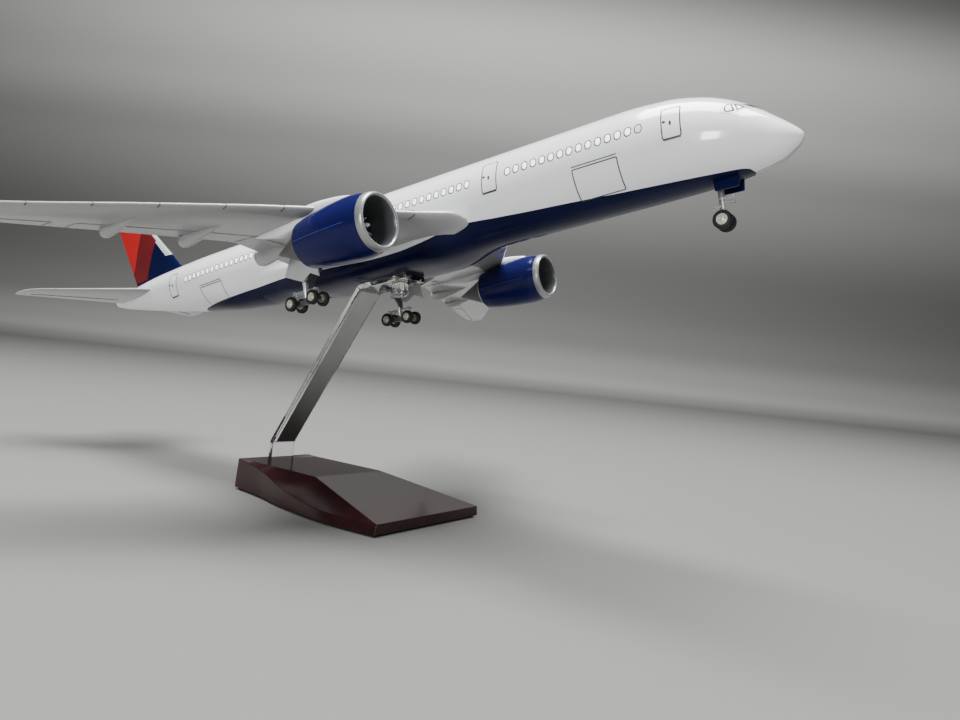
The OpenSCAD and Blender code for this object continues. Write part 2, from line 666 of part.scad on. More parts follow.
module pylon_left() { pylon(1); }
module pylon_right() { pylon(-1); }
module intake_lip_left() { intake_lip(1); }
module intake_lip_right() { intake_lip(-1); }
module cowl_left() { cowl(1); }
module cowl_right() { cowl(-1); }
module fan_left() { fan(1); }
module fan_right() { fan(-1); }
module stator_left() { stator(1); }
module stator_right() { stator(-1); }
module exhaust_left() { exhaust(1); }
module exhaust_right() { exhaust(-1); }

// ---------------------------------------------------------------- undercarriage

axle_r = 0.75;
rim_r = 2.1;
// Pair of hubs pressed on one axle, along Y, at the origin
module wheel_pair(half_track, hub_r, width, pin_r) {
    rotate([90, 0, 0]) {
        cylinder(r = pin_r, h = 2 * half_track, center = true, $fn = 32);
        for (side = sides) translate([0, 0, side * half_track]) rotate([0, side > 0 ? 0 : 180, 0])
            rotate_extrude() polygon([[0, -width / 2], [hub_r, -width / 2], [hub_r, width / 2],
                [hub_r - 0.5, width / 2], [hub_r - 0.9, width / 2 - 0.5], [1, width / 2 - 0.6],
                [0.8, width / 2], [0, width / 2]]);
    }
}
// Pair of round-shouldered tyres around those hubs
module tyre_pair(half_track, hub_r, tyre_r, width) {
    shoulder = 1;
    tread_r = tyre_r - shoulder;
    edge = width / 2 - shoulder;
    rotate([90, 0, 0]) for (side = sides) translate([0, 0, side * half_track]) rotate_extrude()
        polygon(concat([[hub_r + 0.02, -width / 2 + 0.2], [hub_r + 0.4, -width / 2]],
            [for (a = [-90 : 22.5 : 0]) [tread_r + shoulder * cos(a), -edge + shoulder * sin(a)]],
            [for (a = [0 : 22.5 : 90]) [tread_r + shoulder * cos(a), edge + shoulder * sin(a)]],
            [[hub_r + 0.4, width / 2], [hub_r + 0.02, width / 2 - 0.2]]));
}

// Nose gear
nose_axle_z = -36;
nose_half_track = 3;
nose_rim_r = 2.25;
nose_tyre_w = 2.6;
module nose_axle() { aircraft() translate(at(nose_axle_s, 0, nose_axle_z)) children(); }
module nose_leg() {
    color("#b9bcc0") nose_axle() difference() {
        union() {
            translate([0, 0, -1.4]) cylinder(r = 1.1, h = 17.5);
            translate([0, 0, 9.5]) cylinder(r = 1.5, h = 9);
            translate([-1.6, -2.6, 17]) cube([3.2, 5.2, 3.4]);
            translate([0.8, 0, 7.3]) rotate([0, 90, 0]) cylinder(r1 = 0.5, r2 = 0.95, h = 4.4, $fn = 24);
            translate([0.8, -0.3, 9]) cube([4.2, 0.6, 0.6]);
            translate([-4, -0.5, 5.6]) cube([3.2, 1, 0.6]);
            translate([-4, -0.5, 4.4]) cube([0.8, 1, 1.4]);
        }
        rotate([90, 0, 0]) cylinder(r = 0.6 + run_gap, h = 10, center = true, $fn = 32);
    }
}
nose_door_outline = [[24.6, -18.4], [35.6, -18.4], [35.1, -24.2], [25.4, -24.4]];
module nose_doors() {
    color("#141b52") aircraft() for (side = sides) difference() {
        side_plate(nose_door_outline, side * 3.9, 0.8);
        skin([for (s = nose_steps) if (s > 15 && s < 50) hull_ring(s, 0)]);
    }
}
module nose_wheels() { color("#c8c4b4") nose_axle() wheel_pair(nose_half_track, nose_rim_r, 2.2, 0.6); }
module nose_tyres() {
    color("#17181a") nose_axle() tyre_pair(nose_half_track, nose_rim_r, nose_tyre_r, nose_tyre_w);
}

// Main gear
bogie_s = 234.3;
main_tyre_w = 2.6;
beam_h = 2.6;
// Height and nose-up tilt of each bogie: the two have settled a little differently
function bogie_z(side) = side > 0 ? -37 : -36.2;
function bogie_tilt(side) = side > 0 ? -2.8 : 3.5;
module leg_foot(side) {
    aircraft() translate(at(bogie_s, side * main_leg_y, bogie_z(side))) children();
}
module bogie(side, ahead) {
    leg_foot(side) rotate([0, -bogie_tilt(side), 0])
        translate([ahead * bogie_wheelbase / 2, 0, 0]) children();
}
brace_outline = [[0, 5.2], [2.3, 6.6], [3.5, 9.2], [7.5, 14.2], [10.5, 18], [10.5, 21.6], [0, 21.6]];
module main_leg(side) {
    color("#b9bcc0") leg_foot(side) {
        translate([-0.5, 0, 1.7]) cylinder(r = 1.3, h = 19);
        translate([-0.5, 0, 11.5]) cylinder(r = 1.8, h = 9);
        translate([-3, -2.6, 19.4]) cube([12, 5.2, 3]);
        translate([-8, -0.6, 4.8]) cube([14.8, 1.2, 1.2]);
        for (x = [-7.9, 6.7]) translate([x, 0, 5.4]) rotate([90, 0, 0])
            cylinder(r = 0.85, h = 2.4, center = true, $fn = 24);
        translate([0.2, 0, 0]) rotate([90, 0, 90]) linear_extrude(1.6)
            polygon([for (p = brace_outline) [-side * p[0], p[1]]]);
    }
}
module bogie_beam(side) {
    color("#8f9397") bogie(side, 0) difference() {
        union() {
            cube([bogie_wheelbase + 3, 2.2, beam_h], center = true);
            translate([-2.2, -1.5, -1.6]) cube([4.4, 3, 2.75]);
        }
        for (ahead = sides) translate([ahead * bogie_wheelbase / 2, 0, 0]) rotate([90, 0, 0])
            cylinder(r = axle_r + run_gap, h = 10, center = true, $fn = 32);
    }
}
main_door_outline = [[223.2, -9], [220.2, -26.5], [226.6, -23.5], [232, -27.1], [244.6, -22.1],
    [239.6, -12.5], [239, -9]];
module main_door(side) {
    color("#b4b7b8") aircraft() difference() {
        side_plate(main_door_outline, side * (main_leg_y + 4.4), 0.8);
        wing_stub(side, 0, 5);
    }
}
module main_leg_left() { main_leg(1); }
module main_leg_right() { main_leg(-1); }
module bogie_beam_left() { bogie_beam(1); }
module bogie_beam_right() { bogie_beam(-1); }
module main_door_left() { main_door(1); }
module main_door_right() { main_door(-1); }
module main_wheels(side, ahead) {
    color("#c8c4b4") bogie(side, ahead) wheel_pair(bogie_half_track, rim_r, 2.4, axle_r);
}
module main_tyres(side, ahead) {
    color("#17181a") bogie(side, ahead) tyre_pair(bogie_half_track, rim_r, main_tyre_r, main_tyre_w);
}
module front_wheels_left() { main_wheels(1, 1); }
module front_tyres_left() { main_tyres(1, 1); }
module rear_wheels_left() { main_wheels(1, -1); }
module rear_tyres_left() { main_tyres(1, -1); }
module front_wheels_right() { main_wheels(-1, 1); }
module front_tyres_right() { main_tyres(-1, 1); }
module rear_wheels_right() { main_wheels(-1, -1); }
module rear_tyres_right() { main_tyres(-1, -1); }

base_block();
base_cover();
base_pad();
base_ballast();
base_screws();
strut();
thumb_screw();
belly_insert();
nose_shell();
barrel_left();
barrel_right();
tail_shell();
belly_fairing();
battery_door();
cockpit_glazing();
light_strip_left();
light_strip_right();
led_board();
board_components();
battery_tray();
button_cells();
wing_left();
wing_right();
flap_fairings_left();
flap_fairings_right();
fin();
stabiliser_left();
stabiliser_right();
pylon_left();
intake_lip_left();
cowl_left();
fan_left();
stator_left();
exhaust_left();
pylon_right();
intake_lip_right();
cowl_right();
fan_right();
stator_right();
exhaust_right();
nose_leg();
nose_doors();
nose_wheels();
nose_tyres();
main_leg_left();
bogie_beam_left();
main_door_left();
front_wheels_left();
front_tyres_left();
rear_wheels_left();
rear_tyres_left();
main_leg_right();
bogie_beam_right();
main_door_right();
front_wheels_right();
front_tyres_right();
rear_wheels_right();
rear_tyres_right();
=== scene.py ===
import json
from math import acos, asin, copysign, cos, degrees, pi, radians, sin, sqrt, tan, tau

import bmesh
import bpy
from mathutils import Matrix, Vector


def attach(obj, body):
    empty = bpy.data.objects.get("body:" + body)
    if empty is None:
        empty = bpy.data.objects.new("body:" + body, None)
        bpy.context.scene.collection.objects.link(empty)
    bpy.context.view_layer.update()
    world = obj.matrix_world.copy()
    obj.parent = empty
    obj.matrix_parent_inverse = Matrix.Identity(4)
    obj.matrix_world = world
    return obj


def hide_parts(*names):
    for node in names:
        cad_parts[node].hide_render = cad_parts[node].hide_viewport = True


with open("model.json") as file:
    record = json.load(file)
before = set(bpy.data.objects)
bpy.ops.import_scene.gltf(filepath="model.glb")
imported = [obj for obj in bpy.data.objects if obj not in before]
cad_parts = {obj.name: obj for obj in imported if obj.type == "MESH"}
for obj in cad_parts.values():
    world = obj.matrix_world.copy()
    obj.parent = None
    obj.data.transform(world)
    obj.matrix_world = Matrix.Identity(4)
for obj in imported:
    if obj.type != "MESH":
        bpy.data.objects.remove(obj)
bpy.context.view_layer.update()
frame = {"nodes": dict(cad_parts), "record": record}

# Everything below is drawn in millimetres and scaled to metres when its mesh is made.
MM = 0.001
PITCH = radians(13.35)
NOSE_X, AXIS_Z = 213.5, 195.4
SIDES = {"left": 1, "right": -1}


def shift(x, y, z):
    return Matrix.Translation((x, y, z))


def turn(angle, axis):
    return Matrix.Rotation(radians(angle), 4, axis)


# The aircraft's own frame: stations run aft from the nose, y to port, z up
AIRCRAFT = shift(NOSE_X, 0, AXIS_Z) @ Matrix.Rotation(-PITCH, 4, "Y")
STAND = Matrix.Identity(4)


def at(s, y, z):
    return Vector((-s, y, z))


def line(table, x):
    """Straight lines through a table of (x, y)."""
    i = max(k for k in range(len(table) - 1) if k == 0 or x >= table[k][0])
    (x0, y0), (x1, y1) = table[i], table[i + 1]
    return y0 + (y1 - y0) * (x - x0) / (x1 - x0)


def curve(table, x):
    """Smooth curve through a table of (x, y), which never overshoots its points."""
    rises = [(b[1] - a[1]) / (b[0] - a[0]) for a, b in zip(table, table[1:])]
    slopes = [rises[0]]
    for a, b in zip(rises, rises[1:]):
        slopes.append(0 if a * b <= 0 else 2 * a * b / (a + b))
    slopes.append(rises[-1])
    i = max(k for k in range(len(table) - 1) if k == 0 or x >= table[k][0])
    w = table[i + 1][0] - table[i][0]
    u = (x - table[i][0]) / w
    return (table[i][1] * (1 + 2 * u) * (1 - u) ** 2 + table[i + 1][1] * u * u * (3 - 2 * u)
            + w * (slopes[i] * u * (1 - u) ** 2 - slopes[i + 1] * u * u * (1 - u)))


def spread(a, b, n):
    """n + 1 even steps from a to b."""
    return [a + (b - a) * i / n for i in range(n + 1)]


# ---------------------------------------------------------------- materials

FINISHES = {}
GLOSS_DRIFT = 0.15


def material(slot, colour, rough, metal=0.0, coat=0.0, mottle=0.04, patch=12.0, grain=0.0,
             grain_size=0.4, clear=0.0, ior=1.46, glow=0.0, spec=0.5):
    """Finish of one slot: a base colour that drifts a little, uneven gloss and a fine grain."""
    m = bpy.data.materials.new(slot)
    m.use_nodes = True
    nodes, links = m.node_tree.nodes, m.node_tree.links
    shader = nodes["Principled BSDF"]
    shader.inputs["Metallic"].default_value = metal
    shader.inputs["Coat Weight"].default_value = coat
    shader.inputs["Coat Roughness"].default_value = 0.04
    shader.inputs["Transmission Weight"].default_value = clear
    shader.inputs["IOR"].default_value = ior
    shader.inputs["Specular IOR Level"].default_value = spec
    where = nodes.new("ShaderNodeTexCoord")
    cloud = nodes.new("ShaderNodeTexNoise")
    cloud.inputs["Scale"].default_value = 1 / (patch * MM)
    cloud.inputs["Detail"].default_value = 4
    links.new(where.outputs["Object"], cloud.inputs["Vector"])
    tint = nodes.new("ShaderNodeValToRGB")
    for element, share in zip(tint.color_ramp.elements, (1 - mottle, 1 + mottle)):
        element.color = [min(1, c * share) for c in colour] + [1]
    tint.color_ramp.elements[0].position = 0.3
    tint.color_ramp.elements[1].position = 0.7
    links.new(cloud.outputs["Fac"], tint.inputs["Fac"])
    links.new(tint.outputs["Color"], shader.inputs["Base Color"])
    gloss = nodes.new("ShaderNodeMapRange")
    gloss.inputs["To Min"].default_value = rough * (1 - GLOSS_DRIFT)
    gloss.inputs["To Max"].default_value = rough * (1 + GLOSS_DRIFT)
    links.new(cloud.outputs["Fac"], gloss.inputs["Value"])
    links.new(gloss.outputs["Result"], shader.inputs["Roughness"])
    if grain:
        fine = nodes.new("ShaderNodeTexNoise")
        fine.inputs["Scale"].default_value = 1 / (grain_size * MM)
        fine.inputs["Detail"].default_value = 3
        links.new(where.outputs["Object"], fine.inputs["Vector"])
        bump = nodes.new("ShaderNodeBump")
        bump.inputs["Strength"].default_value = grain
        bump.inputs["Distance"].default_value = 0.1 * MM
        links.new(fine.outputs["Fac"], bump.inputs["Height"])
        links.new(bump.outputs["Normal"], shader.inputs["Normal"])
    if glow:
        links.new(tint.outputs["Color"], shader.inputs["Emission Color"])
        shader.inputs["Emission Strength"].default_value = glow
    FINISHES[slot] = m
    return m


material("base_gloss", (0.02, 0.006, 0.006), 0.13, spec=0.4, mottle=0.25, patch=9, grain=0.04,
         grain_size=1.5)
material("base_under", (0.02, 0.019, 0.02), 0.6, grain=0.3)
material("base_felt", (0.012, 0.012, 0.012), 0.95, mottle=0.3, patch=1.5, grain=0.9, grain_size=0.5)
material("plain_steel", (0.5, 0.51, 0.53), 0.35, metal=1, grain=0.15)
material("clear_acrylic", (0.93, 0.955, 0.95), 0.03, mottle=0.01, clear=1, ior=1.49, grain=0.02,
         grain_size=3)
material("insert_brass", (0.66, 0.46, 0.18), 0.3, metal=1, grain=0.1)
material("fuselage_white", (0.88, 0.89, 0.905), 0.16, coat=0.7, mottle=0.012, grain=0.015, grain_size=1.2)
material("livery_navy", (0.004, 0.006, 0.034), 0.2, spec=0.15, mottle=0.08, grain=0.015, grain_size=1.2)
material("livery_red", (0.5, 0.012, 0.014), 0.25, coat=0.7, mottle=0.05, grain=0.015, grain_size=1.2)
material("livery_maroon", (0.13, 0.009, 0.012), 0.25, coat=0.7, mottle=0.05, grain=0.015, grain_size=1.2)
material("cockpit_glass", (0.42, 0.42, 0.44), 0.12, coat=0.6, mottle=0.1, patch=4)
material("light_guide", (0.9, 0.92, 0.95), 0.35, clear=0.6, glow=0.3, grain=0.1)
material("window_light", (0.97, 0.98, 1.0), 0.3, mottle=0.02, glow=1.9, patch=3)
material("marking_grey", (0.04, 0.042, 0.047), 0.6, spec=0.2, mottle=0.1, patch=3)
material("circuit_board", (0.02, 0.2, 0.07), 0.4, coat=0.3, mottle=0.15, patch=4, grain=0.2)
material("lamp_parts", (0.85, 0.8, 0.6), 0.35, mottle=0.1, patch=2)
material("inner_black", (0.025, 0.025, 0.026), 0.5, grain=0.3)
material("cell_steel", (0.7, 0.71, 0.72), 0.25, metal=1, grain=0.08)
material("wing_grey", (0.34, 0.35, 0.345), 0.25, coat=0.6, mottle=0.025, patch=25, grain=0.02, grain_size=1)
material("lip_silver", (0.32, 0.325, 0.33), 0.32, metal=0.55, coat=0.3, grain=0.04, grain_size=0.3)
material("cowl_navy", (0.006, 0.007, 0.06), 0.17, spec=0.25, mottle=0.05, grain=0.015, grain_size=1.2)
material("fan_dark", (0.05, 0.052, 0.056), 0.3, metal=0.6, mottle=0.15, patch=3)
material("exhaust_grey", (0.1, 0.1, 0.098), 0.5, metal=0.3, mottle=0.15, patch=3, grain=0.1)
material("gear_metal", (0.6, 0.61, 0.62), 0.3, metal=0.7, mottle=0.1, patch=2, grain=0.08, grain_size=0.2)
material("gear_door_grey", (0.46, 0.48, 0.48), 0.35, coat=0.3, mottle=0.04, grain=0.04)
material("wheel_hub", (0.68, 0.65, 0.55), 0.35, metal=0.5, mottle=0.12, patch=1.2, grain=0.08,
         grain_size=0.2)
material("tyre_black", (0.012, 0.012, 0.013), 0.55, mottle=0.25, patch=1.5, grain=0.35, grain_size=0.15)
# Finishes that pieces may take instead of their slot's own
material("rim_grey", (0.035, 0.037, 0.042), 0.6, spec=0.2, mottle=0.1, patch=3)
material("line_grey", (0.3, 0.31, 0.315), 0.4, mottle=0.08, patch=3)
material("hinge_grey", (0.05, 0.052, 0.056), 0.4, metal=0.3, mottle=0.1, patch=3)
material("visor_grey", (0.62, 0.63, 0.645), 0.25, coat=0.5, mottle=0.03, patch=4)
material("shield_dark", (0.035, 0.036, 0.04), 0.3, spec=0.2, mottle=0.1, patch=4)
material("outline_black", (0.02, 0.02, 0.022), 0.6, spec=0.2, mottle=0.1, patch=3)
material("duct_grey", (0.075, 0.078, 0.083), 0.35, metal=0.3, mottle=0.08, patch=5)
material("seam_blue", (0.05, 0.065, 0.4), 0.3, coat=0.4, mottle=0.08, patch=4)
material("core_grey", (0.5, 0.51, 0.51), 0.3, metal=0.3, mottle=0.05, patch=4)
# Bright metal with a painted glow: painted highlights on the fan blades' front edges, and the spinner tip's
# light grey with a painted glint
material("silver_and_painted_glint", (0.7, 0.71, 0.72), 0.25, metal=0.7, mottle=0.05, patch=2, glow=0.15)
material("brace_grey", (0.11, 0.112, 0.116), 0.4, metal=0.4, mottle=0.12, patch=2)
material("fin_white", (0.7, 0.71, 0.72), 0.25, metal=0.3, coat=0.5, mottle=0.03, patch=6)
# Painted reflection for the clear strip's front face; its grey is later replaced by painted shades by
# height
material("painted_reflection_sheet", (0.2, 0.2, 0.19), 0.3, metal=0.2, mottle=0.03, patch=20)


# ---------------------------------------------------------------- meshes

class Shape:
    """Vertices and faces of one piece, gathered from several closed forms."""

    def __init__(self):
        self.points = []
        self.faces = []

    def add(self, form, place=None):
        points, faces = form
        start = len(self.points)
        self.points += [place @ Vector(p) for p in points] if place else [Vector(p) for p in points]
        self.faces += [[start + i for i in face] for face in faces]
        return self


def piece(name, shape, place, body, slot, replaces=(), sharp=35, bevel=0.0, segments=2, finish=None):
    """Makes a shape into an object that rides on a body and takes a slot's finish."""
    if not isinstance(shape, Shape):
        shape = Shape().add(shape)
    mesh = bpy.data.meshes.new(name)
    mesh.from_pydata([(place @ p) * MM for p in shape.points], [], shape.faces)
    bm = bmesh.new()
    bm.from_mesh(mesh)
    bmesh.ops.remove_doubles(bm, verts=bm.verts, dist=0.001 * MM)
    bmesh.ops.dissolve_degenerate(bm, edges=bm.edges, dist=0.001 * MM)
    bmesh.ops.recalc_face_normals(bm, faces=bm.faces)
    bm.to_mesh(mesh)
    bm.free()
    mesh.shade_smooth()
    obj = bpy.data.objects.new(name, mesh)
    bpy.context.scene.collection.objects.link(obj)
    mesh.materials.append(FINISHES[finish or slot])
    if bevel:
        edges = obj.modifiers.new("edges", "BEVEL")
        edges.width = bevel * MM
        edges.segments = segments
        edges.limit_method = "ANGLE"
        edges.angle_limit = radians(sharp)
        edges.harden_normals = True
    else:
        mesh.set_sharp_from_angle(angle=radians(sharp))
    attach(obj, body)
    if replaces:
        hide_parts(*replaces)
    return obj


def on_model(name, shape, slot, *rest, **looks):
    """Piece drawn in the aircraft's own frame that rides with the model."""
    return piece(name, shape, AIRCRAFT, "model", slot, *rest, **looks)


def loft(rings, closed=True):
    """Skin over rings of points, with flat caps on its ends unless the rings join up again."""
    n, m = len(rings[0]), len(rings)
    points = [p for ring in rings for p in ring]
    last = m - 1 if closed else m
    faces = []
    for i in range(last):
        k = (i + 1) % m
        for j in range(n):
            l = (j + 1) % n
            faces.append([i * n + j, i * n + l, k * n + l, k * n + j])
    if closed:
        faces.append(list(range(n))[::-1])
        faces.append([(m - 1) * n + j for j in range(n)])
    return points, faces


def lathe(profile, sides=64, closed=False):
    """Turns (radius, height) points about z. A closed profile makes a ring, an open one a plug."""
    rings = [[Vector((r * cos(a), r * sin(a), z))
              for a in (tau * k / sides for k in range(sides))] for r, z in profile]
    return loft(rings, closed=not closed)


def slab(outer, inner):
    """Closed sheet between two grids of points."""
    m, n = len(outer), len(outer[0])
    size = m * n
    points = [p for row in outer for p in row] + [p for row in inner for p in row]
    faces = []
    for i in range(m - 1):
        for j in range(n - 1):
            quad = [i * n + j, i * n + j + 1, (i + 1) * n + j + 1, (i + 1) * n + j]
            faces += [quad, [size + q for q in reversed(quad)]]
    border = ([j for j in range(n)] + [i * n + n - 1 for i in range(1, m)]
              + [(m - 1) * n + j for j in range(n - 2, -1, -1)] + [i * n for i in range(m - 2, 0, -1)])
    for a, b in zip(border, border[1:] + border[:1]):
        faces.append([b, a, a + size, b + size])
    return points, faces


def patch(surface, us, vs, lift, depth):
    """Slab on a surface, from its depth below to its lift above; vs may depend on u."""
    def rows(d):
        return [[surface(u, v, d) for v in (vs(u) if callable(vs) else vs)] for u in us]
    return slab(rows(lift), rows(-depth))


# How deep frames and inlays reach into the skin below them
SUNK = 0.25


def band(surface, outer, inner, lift):
    """Thin frame between two matching outlines on a surface."""
    def ring(outline, d):
        return [surface(u, v, d) for u, v in outline]
    return loft([ring(outer, lift), ring(inner, lift), ring(inner, -SUNK), ring(outer, -SUNK)],
                closed=False)


def inlay(surface, outline, lift, crown=0.0):
    """Filled panel inside an outline on a surface, raised by crown in its middle."""
    cu = sum(u for u, v in outline) / len(outline)
    cv = sum(v for u, v in outline) / len(outline)

    def ring(share, d):
        return [surface(cu + (u - cu) * share, cv + (v - cv) * share, d) for u, v in outline]
    return loft([ring(1, -SUNK), ring(1, lift), ring(0.75, lift + crown * 0.6), ring(0.4, lift + crown),
                 ring(0.02, lift + crown)])


CORNER_STEPS = 5


def rounded(u0, u1, v0, v1, r, per_side=8):
    """Rectangle with round corners, with enough points to follow a curved surface."""
    points = []
    corners = [(u1 - r, v1 - r, 0), (u0 + r, v1 - r, 90), (u0 + r, v0 + r, 180), (u1 - r, v0 + r, 270)]
    for k, (cu, cv, start) in enumerate(corners):
        arc = [(cu + r * cos(radians(start + g)), cv + r * sin(radians(start + g)))
               for g in spread(0, 90, CORNER_STEPS)]
        nu, nv, begin = corners[(k + 1) % 4]
        after = (nu + r * cos(radians(begin)), nv + r * sin(radians(begin)))
        run = [(arc[-1][0] + (after[0] - arc[-1][0]) * t / per_side,
                arc[-1][1] + (after[1] - arc[-1][1]) * t / per_side) for t in range(1, per_side)]
        points += arc + run
    return points


def oval(cu, cv, w, h, n=20, power=2.5):
    """Window-shaped ring: a little squarer than an ellipse."""
    def bulge(c):
        return copysign(abs(c) ** (2 / power), c)
    return [(cu + w / 2 * bulge(cos(a)), cv + h / 2 * bulge(sin(a)))
            for a in (tau * k / n for k in range(n))]


def rod(start, end, r0, r1=None, sides=20):
    """Round bar between two points."""
    start, end = Vector(start), Vector(end)
    along = end - start
    across = along.orthogonal().normalized()
    other = along.cross(across).normalized()
    rings = [[c + r * (across * cos(a) + other * sin(a))
              for a in (tau * k / sides for k in range(sides))]
             for c, r in ((start, r0), (end, r0 if r1 is None else r1))]
    return loft(rings)


def block(size, centre=(0, 0, 0)):
    x, y, z = (c / 2 for c in size)
    ring = [(-x, -y), (x, -y), (x, y), (-x, y)]
    return loft([[Vector((a, b, h)) + Vector(centre) for a, b in ring] for h in (-z, z)])


def plate(outline, thickness):
    """Flat plate in x and z, centred on y, from an outline of (x, z)."""
    half = thickness / 2
    return loft([[Vector((x, y, z)) for x, z in outline] for y in (-half, half)])


# ---------------------------------------------------------------- fuselage

BARREL_R = 21.2
NOSE_END, TAIL_START, TAIL_END = 70, 290, 460
SKIN_T = 1.6
ROOT_END = sqrt(NOSE_END)
# Nose outlines against the square root of the station, which keeps the tip round
NOSE_TOP = [(0, -9.8), (1, -7.6), (2, -4.4), (3, 0.2), (4, 6.2), (5, 12.1), (6, 16.7), (7, 19.7),
            (ROOT_END, BARREL_R), (9, BARREL_R)]
NOSE_BOTTOM = [(0, -9.8), (1, -12.2), (2, -14.6), (3, -17.5), (4, -19.1), (5, -20.3), (6, -20.9),
               (7, -21.15), (ROOT_END, -BARREL_R), (9, -BARREL_R)]
NOSE_HALF = [(0, 0), (1, 3.1), (2, 6.5), (3, 10), (4, 13.4), (5, 16.5), (6, 19), (7, 20.6),
             (ROOT_END, BARREL_R), (9, BARREL_R)]
TAIL_TOP = [(280, BARREL_R), (TAIL_START, BARREL_R), (345, 21), (400, 19.6), (440, 16.2), (TAIL_END, 12.9)]
TAIL_BOTTOM = [(280, -BARREL_R), (TAIL_START, -BARREL_R), (320, -19.5), (350, -15.5), (380, -10.3),
               (420, -2.4), (450, 4.2), (TAIL_END, 7)]
TAIL_HALF = [(280, BARREL_R), (TAIL_START, BARREL_R), (340, 19.4), (380, 15.6), (420, 10.3), (450, 5.2),
             (TAIL_END, 3.1)]


def hull_size(s):
    """Half width, top and bottom of the fuselage at a station."""
    if s < NOSE_END:
        u = sqrt(max(s, 0))
        return curve(NOSE_HALF, u), curve(NOSE_TOP, u), curve(NOSE_BOTTOM, u)
    if s > TAIL_START:
        return curve(TAIL_HALF, s), curve(TAIL_TOP, s), curve(TAIL_BOTTOM, s)
    return BARREL_R, BARREL_R, -BARREL_R


def hull_point(s, angle, d=0.0):
    """Point on the skin, turned by an angle from the crown towards port and moved out by d."""
    half, top, bottom = hull_size(s)
    k = (top - bottom) / 2
    a = radians(angle)
    return at(s, max(half + d, 0) * sin(a), (top + bottom) / 2 + max(k + d, 0) * cos(a))


def hull_angle(s, z):
    half, top, bottom = hull_size(s)
    share = (z - (top + bottom) / 2) / ((top - bottom) / 2)
    return degrees(acos(max(-1.0, min(1.0, share))))


def side_skin(side):
    """Surface of one side of the hull, by station and height."""
    return lambda s, z, d: hull_point(s, side * hull_angle(s, z), d)


def line_rise(s, z, width):
    """Height of a line of some width drawn along the hull at a station and height."""
    return width * sin(radians(hull_angle(s, z)))


# Upper edge of the navy belly
BELT = [(19.4, -19.75), (20.6, -19.1), (23.2, -18.8), (33.6, -18.6), (69.5, -17.1), (89.9, -15.9),
        (102.4, -15.2), (116.8, -14.4), (131.7, -13.4), (146.5, -12.6), (175, -12.1), (265, -11.6),
        (294, -13.6), (340, -13.7), (353, -13.75), (361, -13.8)]
BELT_START, BELT_END = BELT[0][0], BELT[-1][0]


def belt_angle(s):
    if s <= BELT_START or s >= BELT_END:
        return 180.0
    return hull_angle(s, curve(BELT, s))


def hull_slab(stations, low, high, columns=48):
    """Patch of skin between two angles that may change with the station."""
    def rows(d):
        return [[hull_point(s, g, d) for g in spread(low(s), high(s), columns)] for s in stations]
    return slab(rows(0), rows(-SKIN_T))


def nose_stations(start, end, n):
    return [u * u for u in spread(sqrt(start), sqrt(end), n)]


def fuselage():
    white, navy = "fuselage_white", "livery_navy"
    nose = nose_stations(0, BELT_START, 26)[:-1] + nose_stations(BELT_START, NOSE_END, 34)
    on_model("nose_shell_white", hull_slab(nose, lambda s: -belt_angle(s), belt_angle, 96), white,
             ["nose_shell"])
    on_model("nose_shell_navy", hull_slab([s for s in nose if s >= BELT_START], belt_angle,
                                          lambda s: 360 - belt_angle(s), 40), navy)
    barrel = spread(NOSE_END, TAIL_START, 100)
    for name, side in SIDES.items():
        on_model("barrel_white_" + name, hull_slab(barrel, lambda s: 0, lambda s: side * belt_angle(s)),
                 white, ["barrel_" + name])
        on_model("barrel_navy_" + name, hull_slab(barrel, lambda s: side * belt_angle(s),
                                                  lambda s: side * 180, 20), navy)
    tail = spread(TAIL_START, BELT_END, 32) + spread(BELT_END, TAIL_END, 54)[1:]
    on_model("tail_shell_white", hull_slab(tail, lambda s: -belt_angle(s), belt_angle, 96), white,
             ["tail_shell"])
    on_model("tail_shell_navy", hull_slab([s for s in tail if s <= BELT_END], belt_angle,
                                          lambda s: 360 - belt_angle(s), 40), navy)
    cap_rings = [[hull_point(TAIL_END - 0.3 + x, g, -inset) for g in spread(0, 352.5, 47)]
                 for x, inset in ((-1.4, 1.3), (0, 0.15), (0.35, 0.2), (0.6, 0.6), (0.6, 1.1), (-1, 1.2))]
    on_model("tail_outlet_ring", loft(cap_rings, closed=False), "marking_grey")


# The barrel's underside swells into a flat belly: its share at each station
FAIRING_SWELL = [(108, 0), (126, 0.02), (140, 0.08), (147, 0.18), (154, 0.38), (161, 0.66), (168, 0.88),
                 (176, 1), (245, 1), (262, 0.75), (280, 0.3), (298, 0)]
# Upper edge of the navy on the fairing, which drops under the wing roots
FAIRING_BELT = [(108, -14.9), (116.8, -14.4), (131.7, -13.4), (146.5, -12.6), (151, -12.8), (156, -13.7),
                (161, -15.1), (167, -16.6), (174.6, -17.9), (186, -18.7), (197, -18.8), (230, -17.2),
                (253, -16.1), (263.6, -14.8), (280, -13.9), (298, -13.6)]
FAIRING_START, FAIRING_END = 108, 298
FAIRING_W, FAIRING_MID, FAIRING_TOP, FAIRING_POWER = 24.6, -9, -5, 0.62
FAIRING_R = BARREL_R - 0.3
BELLY_Z = -24.9
RIM = 0.9


def fairing_point(s, g, d=0.0):
    """Point on the belly fairing; g runs from -1 on the starboard top round the belly to 1."""
    r, w, low = FAIRING_R + d, FAIRING_W + d, BELLY_Z - d - FAIRING_MID
    if abs(g) > RIM:
        up = (abs(g) - RIM) / (1 - RIM)
        z = FAIRING_MID + up * (FAIRING_TOP - FAIRING_MID)
        flat = (copysign(w * (1 - 0.14 * up), g), z)
        arc = (copysign(sqrt(r * r - z * z), g), z)
    else:
        a = pi / 2 * g / RIM
        flat = (w * copysign(abs(sin(a)) ** FAIRING_POWER, a),
                FAIRING_MID + low * max(cos(a), 0) ** FAIRING_POWER)
        b = (pi / 2 - asin(-FAIRING_MID / r)) * g / RIM
        arc = (r * sin(b), -r * cos(b))
    e = curve(FAIRING_SWELL, s)
    return at(s, arc[0] + e * (flat[0] - arc[0]), arc[1] + e * (flat[1] - arc[1]))


